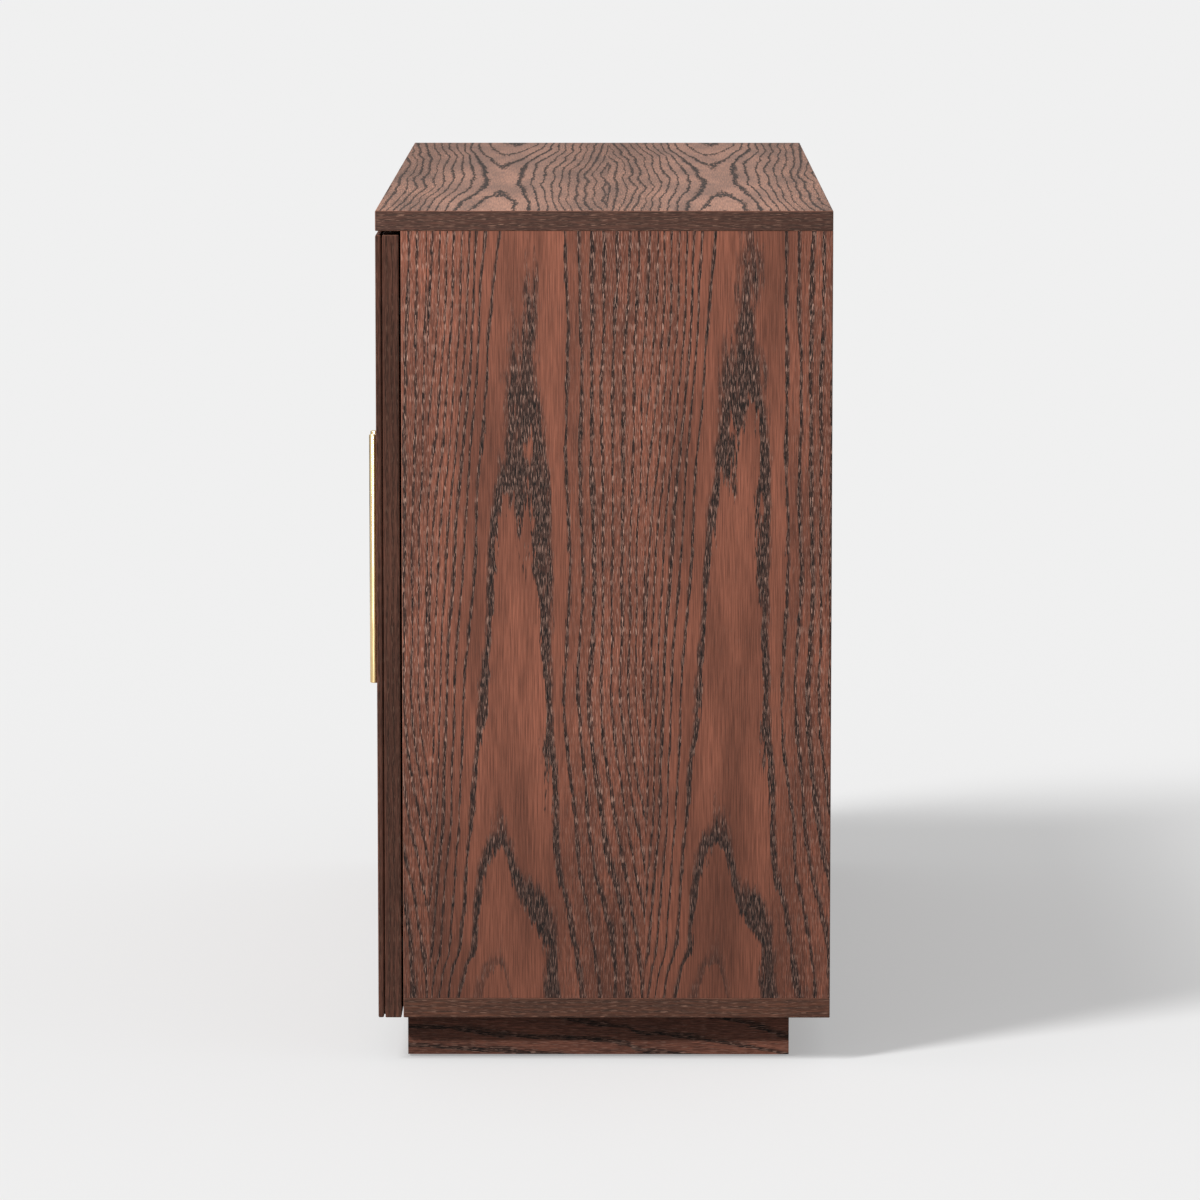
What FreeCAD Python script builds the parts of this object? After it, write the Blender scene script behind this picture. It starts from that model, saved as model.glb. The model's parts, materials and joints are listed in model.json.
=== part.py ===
import FreeCAD, Part
import os
import Sketcher
from FreeCAD import Placement, Rotation, Vector

# Low two-door cabinet: a veneered carcass on a recessed plinth, with overlay doors,
# concealed cup hinges, bar pulls, adjustable shelves and knock-down fittings.
# X runs along the cabinet, the doors face -Y, +Z is up and the floor is z = 0.
# The origin is under the middle of the whole object. Millimetres.

# Driving sizes
SIZES = {
    # whole cabinet
    "overall_width": 1200,
    "body_depth": 450,
    "body_height": 850,
    "panel_thick": 20,
    "arris": 1,
    # clearances
    "fit_gap": 0.05,
    "seat_gap": 0.5,
    "overrun": 5,
    # plinth
    "plinth_height": 45,
    "plinth_front_inset": 3.5,
    "plinth_rear_inset": 40,
    "plinth_end_inset": 30,
    "rail_thick": 18,
    "corner_block_side": 30,
    "corner_block_high": 34,
    "plinth_screw_radius": 2,
    "plinth_screw_head_radius": 4,
    "plinth_screw_head_high": 3,
    "plinth_screw_bite": 13,
    "glide_stand": 2,
    "glide_radius": 8,
    "glide_nail_radius": 1.25,
    "glide_nail_long": 14,
    "glide_from_end": 70,
    # back panels and their grooves
    "back_thick": 6,
    "back_inset": 15,
    "groove_deep": 6,
    "back_slide_gap": 0.25,
    # shelves and shelf pins
    "shelf_thick": 18,
    "shelf_front_inset": 25,
    "shelf_back_gap": 2,
    "shelf_end_gap": 1.5,
    "pin_hole_radius": 2.5,
    "pin_hole_deep": 9,
    "pin_hole_pitch": 32,
    "pin_row_inset": 60,
    "pin_collar_radius": 4,
    "pin_collar_thick": 1.2,
    "pin_peg_long": 8,
    # carcass fittings
    "dowel_radius": 4,
    "dowel_long": 30,
    "dowel_in_slab": 12,
    "dowel_inset": 34,
    "cam_radius": 7.5,
    "cam_deep": 14,
    "cam_setback": 24,
    "cam_inset": 66,
    "bolt_thread_radius": 3.5,
    "bolt_thread_long": 12,
    "bolt_shank_radius": 3,
    "bolt_slack": 0.75,
    # doors
    "door_gap_behind": 2,
    "door_gap_above": 4,
    "door_gap_middle": 3,
    "core_thick": 16,
    "shadow_line_high": 1.5,
    "shadow_line_deep": 3,
    "facing_thick": 5.5,
    "facing_arris": 1.5,
    "bumper_radius": 3.5,
    "bumper_thick": 1.6,
    "bumper_from_end": 30,
    # bar pulls
    "pull_long": 270,
    "pull_radius": 5,
    "pull_reach": 30,
    "pull_chamfer": 0.8,
    "pull_off_centre": 20,
    "post_radius": 4,
    "post_spacing": 192,
    "pull_screw_radius": 2,
    "pull_screw_bite": 12,
    "pull_screw_head_radius": 4,
    "pull_screw_head_high": 2.2,
    # hinges
    "hinge_from_end": 95,
    "pivot_inboard": 7,
    "pivot_in_door": 11.5,
    "cup_inboard": 19.5,
    "cup_hole_radius": 17.5,
    "cup_slack": 0.15,
    "cup_wall": 0.75,
    "cup_floor": 0.8,
    "flange_thick": 1.2,
    "flange_long": 62,
    "flange_wide": 23,
    "flange_screw_spacing": 48,
    "flange_screw_off": 6,
    "cheek_high": 6,
    "hinge_pin_radius": 1.5,
    "hinge_pin_long": 20,
    "eye_wall": 1.3,
    "cup_running_gap": 0.3,
    "arm_wide": 11,
    "arm_side_gap": 0.5,
    "arm_thick": 2.5,
    "arm_end_long": 21,
    "plate_thick": 3,
    "plate_setback": 37,
    "plate_bar_long": 46,
    "plate_bar_wide": 14,
    "plate_wing_long": 46,
    "plate_wing_wide": 13,
    "plate_screw_spacing": 32,
    "small_screw_radius": 1.75,
    "small_screw_bite": 12,
    "small_screw_head_radius": 3.2,
    "small_screw_head_high": 1.5,
    "euro_screw_radius": 2.5,
    "euro_screw_bite": 11,
    "euro_screw_head_radius": 3.4,
    "euro_screw_head_high": 2,
}

# Count of the holes in a row, and the smallest difference that counts in a test
PIN_HOLES_IN_A_ROW = 9
TINY = 1e-6

# Sizes worked out from the driving ones, each a formula in the second sheet
WORKED = {
    "back_y": "(Sizes.body_depth + Sizes.pull_reach)/2",
    "face_y": "back_y - Sizes.body_depth",
    "core_whole": "Sizes.core_thick + Sizes.shadow_line_high",
    "door_thick": "Sizes.facing_thick + core_whole",
    "core_back_y": "face_y + door_thick",
    "front_y": "core_back_y + Sizes.door_gap_behind",
    "carcass_deep": "back_y - front_y",
    "half_width": "Sizes.overall_width/2",
    "half_panel": "Sizes.panel_thick/2",
    "floor_z": "Sizes.plinth_height + Sizes.panel_thick",
    "ceiling_z": "Sizes.body_height - Sizes.panel_thick",
    "side_high": "ceiling_z - floor_z",
    "bay_wide": "half_width - Sizes.panel_thick - half_panel",
    # plinth
    "plinth_wide": "Sizes.overall_width - 2*Sizes.plinth_end_inset",
    "plinth_deep": "carcass_deep - Sizes.plinth_front_inset - Sizes.plinth_rear_inset",
    "rail_high": "Sizes.plinth_height - Sizes.glide_stand",
    "plinth_left": "-plinth_wide/2",
    "plinth_front": "front_y + Sizes.plinth_front_inset",
    "cross_rail_long": "plinth_deep - 2*Sizes.rail_thick",
    "block_z": "Sizes.plinth_height - Sizes.corner_block_high",
    # back panels
    "groove_wide": "Sizes.back_thick + 2*Sizes.back_slide_gap",
    "groove_at": "carcass_deep - Sizes.back_inset - groove_wide",
    "back_wide": "bay_wide + 2*Sizes.groove_deep - 2*Sizes.back_slide_gap",
    "back_high": "side_high + 2*Sizes.groove_deep - 2*Sizes.back_slide_gap",
    "back_front": "front_y + groove_at + Sizes.back_slide_gap",
    # shelves: a row of holes is centred on the panel, and a shelf lies on its middle holes
    "shelf_wide": "bay_wide - 2*Sizes.shelf_end_gap",
    "shelf_deep": "groove_at + Sizes.back_slide_gap - Sizes.shelf_front_inset - Sizes.shelf_back_gap",
    "pin_front_row": "Sizes.pin_row_inset",
    "pin_rear_row": "groove_at - Sizes.pin_row_inset",
    "pin_radius": "Sizes.pin_hole_radius - Sizes.fit_gap",
    "shelf_z": "floor_z + side_high/2 + pin_radius",
    # carcass fittings
    "dowel_hole_radius": "Sizes.dowel_radius + Sizes.fit_gap",
    "dowel_slab_hole": "Sizes.dowel_in_slab + Sizes.seat_gap",
    "dowel_end_hole": "Sizes.dowel_long - Sizes.dowel_in_slab + Sizes.seat_gap",
    "dowel_rear": "groove_at - Sizes.dowel_inset",
    "dowel_middle": "(Sizes.dowel_inset + dowel_rear)/2",
    "cam_rear": "groove_at - Sizes.cam_inset",
    "cam_body_radius": "Sizes.cam_radius - Sizes.fit_gap",
    "cam_high": "Sizes.cam_deep - Sizes.seat_gap",
    "bolt_hole_radius": "Sizes.bolt_shank_radius + Sizes.bolt_slack",
    "bolt_thread_hole": "Sizes.bolt_thread_long + Sizes.seat_gap",
    # doors
    "door_wide": "half_width - Sizes.door_gap_middle/2",
    "door_high": "ceiling_z - Sizes.door_gap_above - Sizes.plinth_height",
    "door_middle": "door_high/2",
    "pull_inboard": "half_width - Sizes.pull_off_centre",
    "post_long": "Sizes.pull_reach - Sizes.pull_radius",
    "rod_y": "face_y - post_long",
    "pull_middle_z": "Sizes.plinth_height + door_middle",
    "pull_screw_reach": "door_thick + Sizes.pull_screw_bite",
    "bumper_x": "half_panel/2 + Sizes.door_gap_middle/4",
    # hinges
    "hinge_low_z": "Sizes.plinth_height + Sizes.hinge_from_end",
    "hinge_high_z": "Sizes.plinth_height + door_high - Sizes.hinge_from_end",
    "eye_radius": "Sizes.hinge_pin_radius + Sizes.eye_wall",
    "cup_radius": "Sizes.cup_hole_radius - Sizes.cup_slack",
    "cavity_radius": "cup_radius - Sizes.cup_wall",
    "cavity_deep": "Sizes.pivot_in_door + eye_radius + Sizes.cup_running_gap",
    "cup_deep": "cavity_deep + Sizes.cup_floor",
    "cup_hole_deep": "cup_deep + Sizes.cup_slack",
    "cup_to_pivot": "Sizes.cup_inboard - Sizes.pivot_inboard",
    "cheek_gap": "Sizes.arm_wide + 2*Sizes.arm_side_gap",
    "pivot_y": "core_back_y - Sizes.pivot_in_door",
    "arm_inboard": "Sizes.panel_thick + Sizes.plate_thick - Sizes.pivot_inboard",
    "pivot_to_plate": "Sizes.pivot_in_door + Sizes.door_gap_behind + Sizes.plate_setback",
    "arm_reach": "pivot_to_plate + Sizes.arm_end_long",
    "small_hole_radius": "Sizes.small_screw_radius + Sizes.fit_gap",
    "euro_hole_radius": "Sizes.euro_screw_radius + Sizes.fit_gap",
}

doc = FreeCAD.newDocument("KangCabinet")


def make_sheet(name, cells, lead):
    """Makes a sheet with one aliased cell for each entry."""
    sheet = doc.addObject("Spreadsheet::Sheet", name)
    for row, (alias, content) in enumerate(cells.items(), start=1):
        sheet.set(f"A{row}", alias)
        sheet.set(f"B{row}", f"{lead}{content}")
        sheet.setAlias(f"B{row}", alias)
    doc.recompute()
    return sheet


sizes = make_sheet("Sizes", SIZES, "")
worked = make_sheet("Worked", WORKED, "=")


def value_of(formula):
    """Works out a formula's present value, for signs, first guesses and tests."""
    return float(worked.evalExpression(formula))


def place(thing, across="0", back="0", up="0", turn=None):
    """Sets a thing's turn, and binds its place to formulas."""
    thing.Placement = Placement(Vector(), turn or Rotation())
    for axis, formula in zip("xyz", (across, back, up)):
        thing.setExpression(f"Placement.Base.{axis}", formula)
    return thing


def origin_plane(body, role):
    """Finds one of a body's own origin planes."""
    return next(plane for plane in body.Origin.OriginFeatures if plane.Role == role)


def new_sketch(body, name, role, level="0"):
    """Makes a sketch on an origin plane of the body, raised to a level along its normal."""
    sketch = body.newObject("Sketcher::SketchObject", name)
    sketch.AttachmentSupport = [(origin_plane(body, role), "")]
    sketch.MapMode = "FlatFace"
    sketch.setExpression("AttachmentOffset.Base.z", level)
    return sketch


def bind_constraint(sketch, kind, places, formula):
    """Adds one dimension and binds it to a formula that is not negative."""
    index = sketch.addConstraint(Sketcher.Constraint(kind, *places, value_of(formula)))
    sketch.setExpression(f"Constraints[{index}]", formula)


def fix_point(sketch, line, end, across, up):
    """Dimensions one point from the sketch's origin, either way along each axis."""
    for kind, level_with, formula in (
        ("DistanceX", "Vertical", across),
        ("DistanceY", "Horizontal", up),
    ):
        value = value_of(formula)
        if abs(value) < TINY:
            sketch.addConstraint(Sketcher.Constraint(level_with, -1, 1, line, end))
        elif value > 0:
            bind_constraint(sketch, kind, (-1, 1, line, end), formula)
        else:
            bind_constraint(sketch, kind, (line, end, -1, 1), f"-({formula})")


def draw_outline(sketch, corners):
    """Draws a closed outline of straight lines through corners given as pairs of formulas."""
    points = [Vector(value_of(across), value_of(up), 0) for across, up in corners]
    first = sketch.GeometryCount
    count = len(points)
    for index in range(count):
        sketch.addGeometry(Part.LineSegment(points[index], points[(index + 1) % count]))
    for index in range(count):
        after = first + (index + 1) % count
        sketch.addConstraint(Sketcher.Constraint("Coincident", first + index, 2, after, 1))
    for index, (across, up) in enumerate(corners):
        fix_point(sketch, first + index, 1, across, up)


def draw_rectangle(sketch, left, low, wide, high):
    """Draws a rectangle from its lower left corner and its two sides."""
    right = f"{left} + {wide}"
    top = f"{low} + {high}"
    draw_outline(sketch, [(left, low), (right, low), (right, top), (left, top)])


def draw_circle(sketch, across, up, radius):
    """Draws a circle that is dimensioned from the sketch's origin."""
    centre = Vector(value_of(across), value_of(up), 0)
    round_line = sketch.addGeometry(Part.Circle(centre, Vector(0, 0, 1), value_of(radius)))
    fix_point(sketch, round_line, 3, across, up)
    bind_constraint(sketch, "Radius", (round_line,), radius)


def pad(body, name, sketch, long, backwards=False):
    """Pads a sketch and returns the feature."""
    feature = body.newObject("PartDesign::Pad", name)
    feature.Profile = sketch
    feature.Reversed = backwards
    feature.setExpression("Length", long)
    doc.recompute()
    return feature


def pocket(body, name, sketch, deep, backwards=False):
    """Pockets a sketch, and makes sure that the cut met the solid."""
    before = body.Shape.Volume
    feature = body.newObject("PartDesign::Pocket", name)
    feature.Profile = sketch
    feature.Reversed = backwards
    feature.setExpression("Length", deep)
    doc.recompute()
    if feature.Shape.Volume > before - TINY:
        raise RuntimeError(f"{body.Label}: {name} cuts nothing")
    return feature


def runs_along(edge, axis):
    """Says whether a straight edge runs along one axis."""
    first, last = (vertex.Point for vertex in edge.Vertexes)
    way = (last - first).normalize()
    return abs(abs(way[axis]) - 1) < TINY


def ease(body, name, base, radius, axes=(0, 1, 2)):
    """Rounds over a box's edges that run along the given axes."""
    edges = [
        f"Edge{number}"
        for number, edge in enumerate(base.Shape.Edges, start=1)
        if any(runs_along(edge, axis) for axis in axes)
    ]
    feature = body.newObject("PartDesign::Fillet", name)
    feature.Base = (base, edges)
    feature.setExpression("Radius", radius)
    doc.recompute()
    return feature


def board(name, wide, deep, high, corner, arris=None, arris_axes=(0, 1, 2)):
    """Makes a board as a body: its low front left corner is the body's own origin."""
    body = doc.addObject("PartDesign::Body", name)
    place(body, *corner)
    outline = new_sketch(body, f"{name}_outline", "XY_Plane")
    draw_rectangle(outline, "0", "0", wide, deep)
    slab = pad(body, f"{name}_slab", outline, high)
    if arris:
        ease(body, f"{name}_eased_edges", slab, arris, arris_axes)
    return body


def rail_from_outline(name, corner, outline):
    """Makes a plinth rail from the outline that its two mitred ends give it."""
    body = doc.addObject("PartDesign::Body", name)
    place(body, *corner, "Sizes.glide_stand")
    sketch = new_sketch(body, f"{name}_outline", "XY_Plane")
    draw_outline(sketch, outline)
    pad(body, f"{name}_slab", sketch, "Worked.rail_high")
    return body


def drill(body, name, role, level, centres, radius, deep, backwards=False):
    """Drills equal holes from one level of an origin plane."""
    sketch = new_sketch(body, f"{name}_centres", role, level)
    for across, up in centres:
        draw_circle(sketch, across, up, radius)
    return pocket(body, name, sketch, deep, backwards)


def turned(name, steps):
    """Makes a turned piece along its own +Z from steps of radius, low end and high end."""
    body = doc.addObject("PartDesign::Body", name)
    sketch = new_sketch(body, f"{name}_profile", "XZ_Plane")
    corners = [("0", steps[0][1])]
    for radius, low, high in steps:
        corners += [(radius, low), (radius, high)]
    corners.append(("0", steps[-1][2]))
    draw_outline(sketch, corners)
    lathe = body.newObject("PartDesign::Revolution", f"{name}_turned")
    lathe.Profile = sketch
    lathe.ReferenceAxis = (sketch, ["V_Axis"])
    lathe.Angle = 360
    doc.recompute()
    return body


def headed(name, radius, long, head_radius, head_high):
    """Makes a pan-headed screw whose shank points along -Z from the seat of its head."""
    return turned(name, [(radius, f"-({long})", "0"), (head_radius, "0", head_high)])


def copies(name, pattern, spots):
    """Makes one node of equal pieces, each a link to the pattern at its own spot."""
    links = []
    for number, (across, back, up, turn) in enumerate(spots, start=1):
        link = doc.addObject("App::Link", f"{name}_{number}")
        link.LinkedObject = pattern
        links.append(place(link, across, back, up, turn))
    group = doc.addObject("Part::Compound", name)
    group.Links = links
    return group


def mirrored(name, source):
    """Makes the right-hand twin of a left-hand piece."""
    twin = doc.addObject("Part::Mirroring", name)
    twin.Source = source
    twin.Normal = Vector(1, 0, 0)
    return twin


def box(name, wide, deep, high, corner):
    """Makes a plain box from its low front left corner."""
    solid = doc.addObject("Part::Box", name)
    for side, formula in (("Length", wide), ("Width", deep), ("Height", high)):
        solid.setExpression(side, formula)
    return place(solid, *corner)


def rod(name, radius, long, start, turn=None):
    """Makes a plain cylinder that runs from its start along the turned +Z."""
    solid = doc.addObject("Part::Cylinder", name)
    solid.setExpression("Radius", radius)
    solid.setExpression("Height", long)
    return place(solid, *start, turn)


def fused(name, pieces):
    """Joins overlapping pieces to one solid."""
    joined = doc.addObject("Part::MultiFuse", name)
    joined.Shapes = pieces
    return joined


def cut(name, base, tool):
    """Cuts the tool out of the base."""
    result = doc.addObject("Part::Cut", name)
    result.Base = base
    result.Tool = tool
    return result


# Turns that are used in several places
UPSIDE_DOWN = Rotation(Vector(1, 0, 0), 180)
TO_FRONT = Rotation(Vector(1, 0, 0), 90)
TO_BACK = Rotation(Vector(1, 0, 0), -90)
TO_RIGHT = Rotation(Vector(0, 1, 0), 90)
TO_LEFT = Rotation(Vector(0, 1, 0), -90)

# Where the fittings lie along a panel's depth, measured from the carcass front
DOWEL_ROWS = ("Sizes.dowel_inset", "Worked.dowel_middle", "Worked.dowel_rear")
CAM_ROWS = ("Sizes.cam_inset", "Worked.cam_rear")
PIN_ROWS = ("Worked.pin_front_row", "Worked.pin_rear_row")

# Left edges of the three uprights, which carry the slabs' fittings at mid thickness
UPRIGHTS = {
    "left_side_panel": "-Worked.half_width",
    "centre_partition": "-Worked.half_panel",
    "right_side_panel": "Worked.half_width - Sizes.panel_thick",
}


def slab(name, front, deep, up, joint_face, drill_up):
    """Makes the top or bottom slab with its fitting holes and the grooves for the backs."""
    body = board(name, "Sizes.overall_width", deep, "Sizes.panel_thick",
                 ("-Worked.half_width", front, up), "Sizes.arris")
    setback = f"(Worked.front_y - ({front}))"
    lines = [f"({left} + Worked.half_width + Worked.half_panel)" for left in UPRIGHTS.values()]
    dowels = [(line, f"{setback} + {row}") for line in lines for row in DOWEL_ROWS]
    bolts = [(line, f"{setback} + {row}") for line in lines for row in CAM_ROWS]
    drill(body, f"{name}_dowel_holes", "XY_Plane", joint_face, dowels,
          "Worked.dowel_hole_radius", "Worked.dowel_slab_hole", drill_up)
    drill(body, f"{name}_bolt_holes", "XY_Plane", joint_face, bolts,
          "Sizes.bolt_thread_radius + Sizes.fit_gap", "Worked.bolt_thread_hole", drill_up)
    grooves = new_sketch(body, f"{name}_groove_lines", "XY_Plane", joint_face)
    for left in ("Sizes.panel_thick", "Worked.half_width + Worked.half_panel"):
        draw_rectangle(grooves, f"{left} - Sizes.groove_deep", f"{setback} + Worked.groove_at",
                       "Worked.bay_wide + 2*Sizes.groove_deep", "Worked.groove_wide")
    pocket(body, f"{name}_grooves", grooves, "Sizes.groove_deep", drill_up)
    return body


def inner_face(body, name, level, backwards, has_plates, has_cams):
    """Cuts what an upright has on one of its faces: pin holes, groove, cams, plate holes."""
    middle = "Worked.side_high/2"
    pins = [
        (row, f"{middle} + {step - PIN_HOLES_IN_A_ROW // 2}*Sizes.pin_hole_pitch")
        for row in PIN_ROWS
        for step in range(PIN_HOLES_IN_A_ROW)
    ]
    drill(body, f"{name}_pin_holes", "YZ_Plane", level, pins,
          "Sizes.pin_hole_radius", "Sizes.pin_hole_deep", backwards)
    groove = new_sketch(body, f"{name}_groove_line", "YZ_Plane", level)
    draw_rectangle(groove, "Worked.groove_at", "0", "Worked.groove_wide", "Worked.side_high")
    pocket(body, f"{name}_groove", groove, "Sizes.groove_deep", backwards)
    if has_cams:
        cams = [
            (row, up)
            for row in CAM_ROWS
            for up in ("Sizes.cam_setback", "Worked.side_high - Sizes.cam_setback")
        ]
        drill(body, f"{name}_cam_holes", "YZ_Plane", level, cams,
              "Sizes.cam_radius", "Sizes.cam_deep", backwards)
    if has_plates:
        screws = [
            ("Sizes.plate_setback", f"{hinge} - Worked.floor_z {sign} Sizes.plate_screw_spacing/2")
            for hinge in ("Worked.hinge_low_z", "Worked.hinge_high_z")
            for sign in ("-", "+")
        ]
        drill(body, f"{name}_plate_holes", "YZ_Plane", level, screws,
              "Worked.euro_hole_radius", "Sizes.euro_screw_bite + Sizes.seat_gap", backwards)


def upright(name):
    """Makes one upright with its end holes."""
    body = board(name, "Sizes.panel_thick", "Worked.carcass_deep", "Worked.side_high",
                 (UPRIGHTS[name], "Worked.front_y", "Worked.floor_z"), "Sizes.arris", (2,))
    for end, level, backwards in (("top", "Worked.side_high", False), ("foot", "0", True)):
        drill(body, f"{name}_{end}_dowel_holes", "XY_Plane", level,
              [("Worked.half_panel", row) for row in DOWEL_ROWS],
              "Worked.dowel_hole_radius", "Worked.dowel_end_hole", backwards)
        drill(body, f"{name}_{end}_bolt_holes", "XY_Plane", level,
              [("Worked.half_panel", row) for row in CAM_ROWS],
              "Worked.bolt_hole_radius", "Sizes.cam_setback", backwards)
    return body


# Carcass
top_panel = slab("top_panel", "Worked.face_y", "Sizes.body_depth", "Worked.ceiling_z", "0", True)
bottom_panel = slab("bottom_panel", "Worked.front_y", "Worked.carcass_deep",
                    "Sizes.plinth_height", "Sizes.panel_thick", False)
left_side_panel = upright("left_side_panel")
inner_face(left_side_panel, "left_side_inner", "Sizes.panel_thick", False, True, True)
right_side_panel = upright("right_side_panel")
inner_face(right_side_panel, "right_side_inner", "0", True, True, True)
centre_partition = upright("centre_partition")
inner_face(centre_partition, "partition_left", "0", True, False, False)
inner_face(centre_partition, "partition_right", "Sizes.panel_thick", False, False, True)

BAYS = {"left": "-Worked.half_width + Sizes.panel_thick", "right": "Worked.half_panel"}
back_panels = [
    board(f"{side}_back_panel", "Worked.back_wide", "Sizes.back_thick", "Worked.back_high",
          (f"{left} - Sizes.groove_deep + Sizes.back_slide_gap", "Worked.back_front",
           "Worked.floor_z - Sizes.groove_deep + Sizes.back_slide_gap"))
    for side, left in BAYS.items()
]
shelves = [
    board(f"{side}_shelf", "Worked.shelf_wide", "Worked.shelf_deep", "Sizes.shelf_thick",
          (f"{left} + Sizes.shelf_end_gap", "Worked.front_y + Sizes.shelf_front_inset",
           "Worked.shelf_z"), "Sizes.arris")
    for side, left in BAYS.items()
]

# Shelf pins: a shank in the upright, a collar against it and a peg under the shelf
shelf_pin = turned("shelf_pin_pattern", [
    ("Worked.pin_radius", "-(Sizes.pin_hole_deep - Sizes.seat_gap)", "0"),
    ("Sizes.pin_collar_radius", "0", "Sizes.pin_collar_thick"),
    ("Worked.pin_radius", "Sizes.pin_collar_thick", "Sizes.pin_collar_thick + Sizes.pin_peg_long"),
])
shelf_pins = copies("shelf_pins", shelf_pin, [
    (across, f"Worked.front_y + {row}", "Worked.floor_z + Worked.side_high/2", turn)
    for left in BAYS.values()
    for across, turn in ((left, TO_RIGHT), (f"{left} + Worked.bay_wide", TO_LEFT))
    for row in PIN_ROWS
])

# Dowels, cam bolts and cam locks that join the uprights to the slabs
dowel = turned("dowel_pattern", [
    ("Sizes.dowel_radius", "-Sizes.dowel_in_slab", "Sizes.dowel_long - Sizes.dowel_in_slab"),
])
cam_bolt = turned("cam_bolt_pattern", [
    ("Sizes.bolt_thread_radius", "-Sizes.bolt_thread_long", "0"),
    ("Sizes.bolt_shank_radius", "0", "Sizes.cam_setback"),
])
JOINTS = (("Worked.floor_z", Rotation()), ("Worked.ceiling_z", UPSIDE_DOWN))
carcass_dowels = copies("carcass_dowels", dowel, [
    (f"{left} + Worked.half_panel", f"Worked.front_y + {row}", up, turn)
    for left in UPRIGHTS.values()
    for up, turn in JOINTS
    for row in DOWEL_ROWS
])
cam_bolts = copies("cam_bolts", cam_bolt, [
    (f"{left} + Worked.half_panel", f"Worked.front_y + {row}", up, turn)
    for left in UPRIGHTS.values()
    for up, turn in JOINTS
    for row in CAM_ROWS
])
cam_disc = rod("cam_disc", "Worked.cam_body_radius", "Worked.cam_high", ("0", "0", "0"))
cam_slot = rod("cam_slot", "Worked.bolt_hole_radius", "2*Sizes.cam_radius",
               ("0", "-Sizes.cam_radius", "Worked.half_panel"), TO_BACK)
cam_lock = cut("cam_lock_pattern", cam_disc, cam_slot)
CAM_FACES = (
    ("-Worked.half_width + Sizes.panel_thick", -1),
    ("Worked.half_panel", -1),
    ("Worked.half_width - Sizes.panel_thick", 1),
)


def cam_turn(inwards):
    """Turns a cam so that it goes into the upright and its slot stands upright."""
    return Rotation(Vector(0, 0, 1), 90).multiply(Rotation(Vector(1, 0, 0), 90 * inwards))


cam_locks = copies("cam_locks", cam_lock, [
    (face, f"Worked.front_y + {row}", up, cam_turn(inwards))
    for face, inwards in CAM_FACES
    for up in ("Worked.floor_z + Sizes.cam_setback", "Worked.ceiling_z - Sizes.cam_setback")
    for row in CAM_ROWS
])

# Plinth: four rails mitred at the corners, a middle rail, glued corner blocks, screws and glides
LONG_RAILS = {
    "plinth_front_rail": "Worked.plinth_front",
    "plinth_rear_rail": "Worked.plinth_front + Worked.plinth_deep - Sizes.rail_thick",
}
END_RAILS = {
    "plinth_left_rail": "Worked.plinth_left",
    "plinth_right_rail": "-Worked.plinth_left - Sizes.rail_thick",
}
NEAR, FAR = "0", "Sizes.rail_thick"
GLIDE_SPOTS = (
    "Sizes.glide_from_end",
    "Worked.plinth_wide/2",
    "Worked.plinth_wide - Sizes.glide_from_end",
)
plinth_rails = []
for (rail_name, rail_y), (outer, inner) in zip(LONG_RAILS.items(), ((NEAR, FAR), (FAR, NEAR))):
    rail = rail_from_outline(rail_name, ("Worked.plinth_left", rail_y), [
        ("0", outer), ("Worked.plinth_wide", outer),
        ("Worked.plinth_wide - Sizes.rail_thick", inner), ("Sizes.rail_thick", inner),
    ])
    drill(rail, f"{rail_name}_glide_holes", "XY_Plane", "0",
          [(spot, "Sizes.rail_thick/2") for spot in GLIDE_SPOTS],
          "Sizes.glide_nail_radius + Sizes.fit_gap", "Sizes.glide_nail_long + Sizes.seat_gap", True)
    plinth_rails.append(rail)
for (rail_name, rail_x), (outer, inner) in zip(END_RAILS.items(), ((NEAR, FAR), (FAR, NEAR))):
    plinth_rails.append(rail_from_outline(rail_name, (rail_x, "Worked.plinth_front"), [
        (outer, "0"), (outer, "Worked.plinth_deep"),
        (inner, "Worked.plinth_deep - Sizes.rail_thick"), (inner, "Sizes.rail_thick"),
    ]))
plinth_rails.append(board(
    "plinth_middle_rail", "Sizes.rail_thick", "Worked.cross_rail_long", "Worked.rail_high",
    ("-Sizes.rail_thick/2", "Worked.plinth_front + Sizes.rail_thick", "Sizes.glide_stand")))

glide = turned("glide_pattern", [
    ("Sizes.glide_radius", "0", "Sizes.glide_stand"),
    ("Sizes.glide_nail_radius", "Sizes.glide_stand", "Sizes.glide_stand + Sizes.glide_nail_long"),
])
plinth_glides = copies("plinth_glides", glide, [
    (f"Worked.plinth_left + {spot}", f"{rail_y} + Sizes.rail_thick/2", "0", None)
    for rail_y in LONG_RAILS.values()
    for spot in GLIDE_SPOTS
])

block_body = board("corner_block_pattern", "Sizes.corner_block_side", "Sizes.corner_block_side",
                   "Sizes.corner_block_high", ("0", "0", "0"))
drill(block_body, "corner_block_screw_hole", "XY_Plane", "0",
      [("Sizes.corner_block_side/2", "Sizes.corner_block_side/2")],
      "Sizes.plinth_screw_radius + Sizes.fit_gap", "Sizes.corner_block_high", True)
BLOCK_CORNERS = [
    (across, back)
    for across in ("Worked.plinth_left + Sizes.rail_thick",
                   "-Worked.plinth_left - Sizes.rail_thick - Sizes.corner_block_side")
    for back in ("Worked.plinth_front + Sizes.rail_thick",
                 "Worked.plinth_front + Worked.plinth_deep - Sizes.rail_thick"
                 " - Sizes.corner_block_side")
]
plinth_corner_blocks = copies("plinth_corner_blocks", block_body, [
    (across, back, "Worked.block_z", None) for across, back in BLOCK_CORNERS
])
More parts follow.
